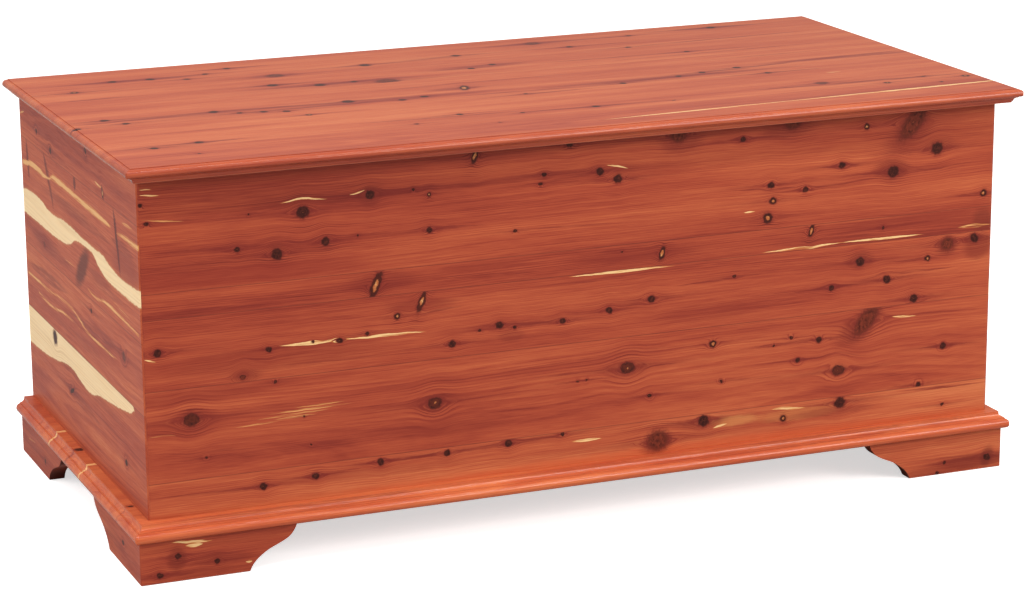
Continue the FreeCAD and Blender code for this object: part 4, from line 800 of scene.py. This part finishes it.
dress("foot_corner_blocks", cedar("blocks", "zxy", dict(seed=171.0, tone=0.34, pith=(0.0, -80.0), dry=True, rough=0.6)))
for n, name in enumerate(("left_lid_batten", "right_lid_batten")):
    sx = -300.0 if n == 0 else 300.0
    dress(name, cedar(name, "yxz", dict(seed=180.0 + n * 3.3, tone=0.30, ring=3.0, pith=(sx + 50, 400.0), dry=True, rough=0.58,
                                        knots=scatter(900 + n, 4, 80, 440, sx - 20, sx + 20, (1.5, 5.0)))))


# =========================================================== the hardware
def metal(name, base, dark, rough, brushed):
    mat = bpy.data.materials.new(name)
    mat.use_nodes = True
    mat.node_tree.nodes.clear()
    t = Tree(mat.node_tree)
    out = t.node("ShaderNodeOutputMaterial")
    b = t.node("ShaderNodeBsdfPrincipled")
    t.t.links.new(b.outputs[0], out.inputs[0])
    tc = t.node("ShaderNodeTexCoord")
    p = t.v("SCALE", tc.outputs["Object"], scale=1000.0)
    blotch = t.noise(t.v("MULTIPLY", p, (0.16, 0.16, 0.16)), 3.0, 0.6)
    lines = t.noise(t.v("MULTIPLY", p, brushed), 2.0, 0.6)
    t.put(b.inputs["Base Color"], t.mix(t.ramp(blotch, 0.35, 0.75), base, dark))
    t.put(b.inputs["Roughness"], t.ramp(lines, 0.2, 0.8, rough - 0.06, rough + 0.10))
    b.inputs["Metallic"].default_value = 1.0
    bump = t.node("ShaderNodeBump")
    bump.inputs["Strength"].default_value = 0.2
    bump.inputs["Distance"].default_value = 0.00005
    t.put(bump.inputs["Height"], lines)
    t.t.links.new(bump.outputs[0], b.inputs["Normal"])
    return mat


BRASS = metal("brass_satin", (0.78, 0.53, 0.22), (0.60, 0.38, 0.15), 0.30, (0.4, 6.0, 6.0))
BRASS_ARM = metal("brass_arm", (0.78, 0.54, 0.24), (0.62, 0.40, 0.16), 0.28, (6.0, 6.0, 0.4))
STEEL = metal("zinc_screw", (0.62, 0.60, 0.56), (0.46, 0.43, 0.38), 0.34, (3.0, 3.0, 3.0))
for name in NODES:
    if "screws" in name:
        dress(name, STEEL)
    elif "stay_arm" in name:
        dress(name, BRASS_ARM)
    elif "hinge" in name or "stay" in name:
        dress(name, BRASS)

# ============================================================== the stage
bpy.ops.mesh.primitive_plane_add(size=60.0, location=(0, 0, -0.0005))
floor = bpy.context.object
floor.name = "floor"
fm = bpy.data.materials.new("floor_white")
fm.use_nodes = True
ft = Tree(fm.node_tree)
fb = fm.node_tree.nodes["Principled BSDF"]
lp = ft.node("ShaderNodeLightPath")
seen = lp.outputs["Is Camera Ray"]
ft.put(fb.inputs["Base Color"], ft.mix(seen, (0.50, 0.495, 0.49), (0.96, 0.955, 0.95)))
fb.inputs["Emission Color"].default_value = (1.0, 1.0, 1.0, 1.0)
ft.put(fb.inputs["Emission Strength"], ft.m("MULTIPLY", seen, 0.60))
fb.inputs["Roughness"].default_value = 0.9
fb.inputs["Specular IOR Level"].default_value = 0.1
floor.data.materials.append(fm)
floor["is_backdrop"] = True

scene = bpy.context.scene
world = bpy.data.worlds.new("studio")
scene.world = world
world.use_nodes = True
bg = world.node_tree.nodes["Background"]
wt = Tree(world.node_tree)
gen = wt.node("ShaderNodeTexCoord")
up_z = wt.v("DOT_PRODUCT", gen.outputs["Generated"], (0.0, 0.0, 1.0))
sky = wt.mix(wt.ramp(up_z, 0.05, 0.75), (0.42, 0.41, 0.40), (0.80, 0.79, 0.78))
wt.put(bg.inputs["Color"], sky)
bg.inputs["Strength"].default_value = 1.0


def area(name, loc, target, size, power, color=(1, 1, 1)):
    ld = bpy.data.lights.new(name, "AREA")
    ld.shape = "RECTANGLE"
    ld.size, ld.size_y = size
    ld.energy = power
    ld.color = color
    o = bpy.data.objects.new(name, ld)
    scene.collection.objects.link(o)
    o.location = loc
    d = Vector(target) - Vector(loc)
    o.rotation_mode = "QUATERNION"
    o.rotation_quaternion = d.to_track_quat("-Z", "Y")
    return o


area("key", (2.3, -3.7, 2.5), (0.15, 0, 0.25), (2.4, 1.8), 123.0, (1.0, 0.985, 0.965))
area("overhead", (0.1, -1.7, 3.0), (0.0, 0, 0.3), (3.4, 0.14), 30.0)
area("left", (-3.3, -0.3, 2.0), (0, 0, 0.3), (1.8, 1.8), 50.0)
area("top", (-1.1, -0.1, 2.6), (-0.3, 0, 0.4), (1.6, 1.4), 10.0)

# ============================================================= the camera
yaw, pitch, roll = math.radians(22.0699), math.radians(14.9804), math.radians(-0.416)
fwd = Vector((math.sin(yaw) * math.cos(pitch), math.cos(yaw) * math.cos(pitch), -math.sin(pitch)))
right = Vector((math.cos(yaw), -math.sin(yaw), 0.0))
up = right.cross(fwd)
r2 = right * math.cos(roll) + up * math.sin(roll)
u2 = up * math.cos(roll) - right * math.sin(roll)
cd = bpy.data.cameras.new("camera")
cd.lens = 111.110
cd.sensor_width = 36.0
cd.sensor_fit = "HORIZONTAL"
cd.clip_start, cd.clip_end = 0.05, 200.0
cam = bpy.data.objects.new("camera", cd)
scene.collection.objects.link(cam)
rot = Matrix((r2, u2, -fwd)).transposed()
cam.matrix_world = Matrix.Translation((-1.45273, -3.60047, 1.24463)) @ rot.to_4x4()
scene.camera = cam

scene.view_settings.view_transform = "Standard"
scene.view_settings.look = "None"

# ===================================================== the bounding box of the shown objects
lo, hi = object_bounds()
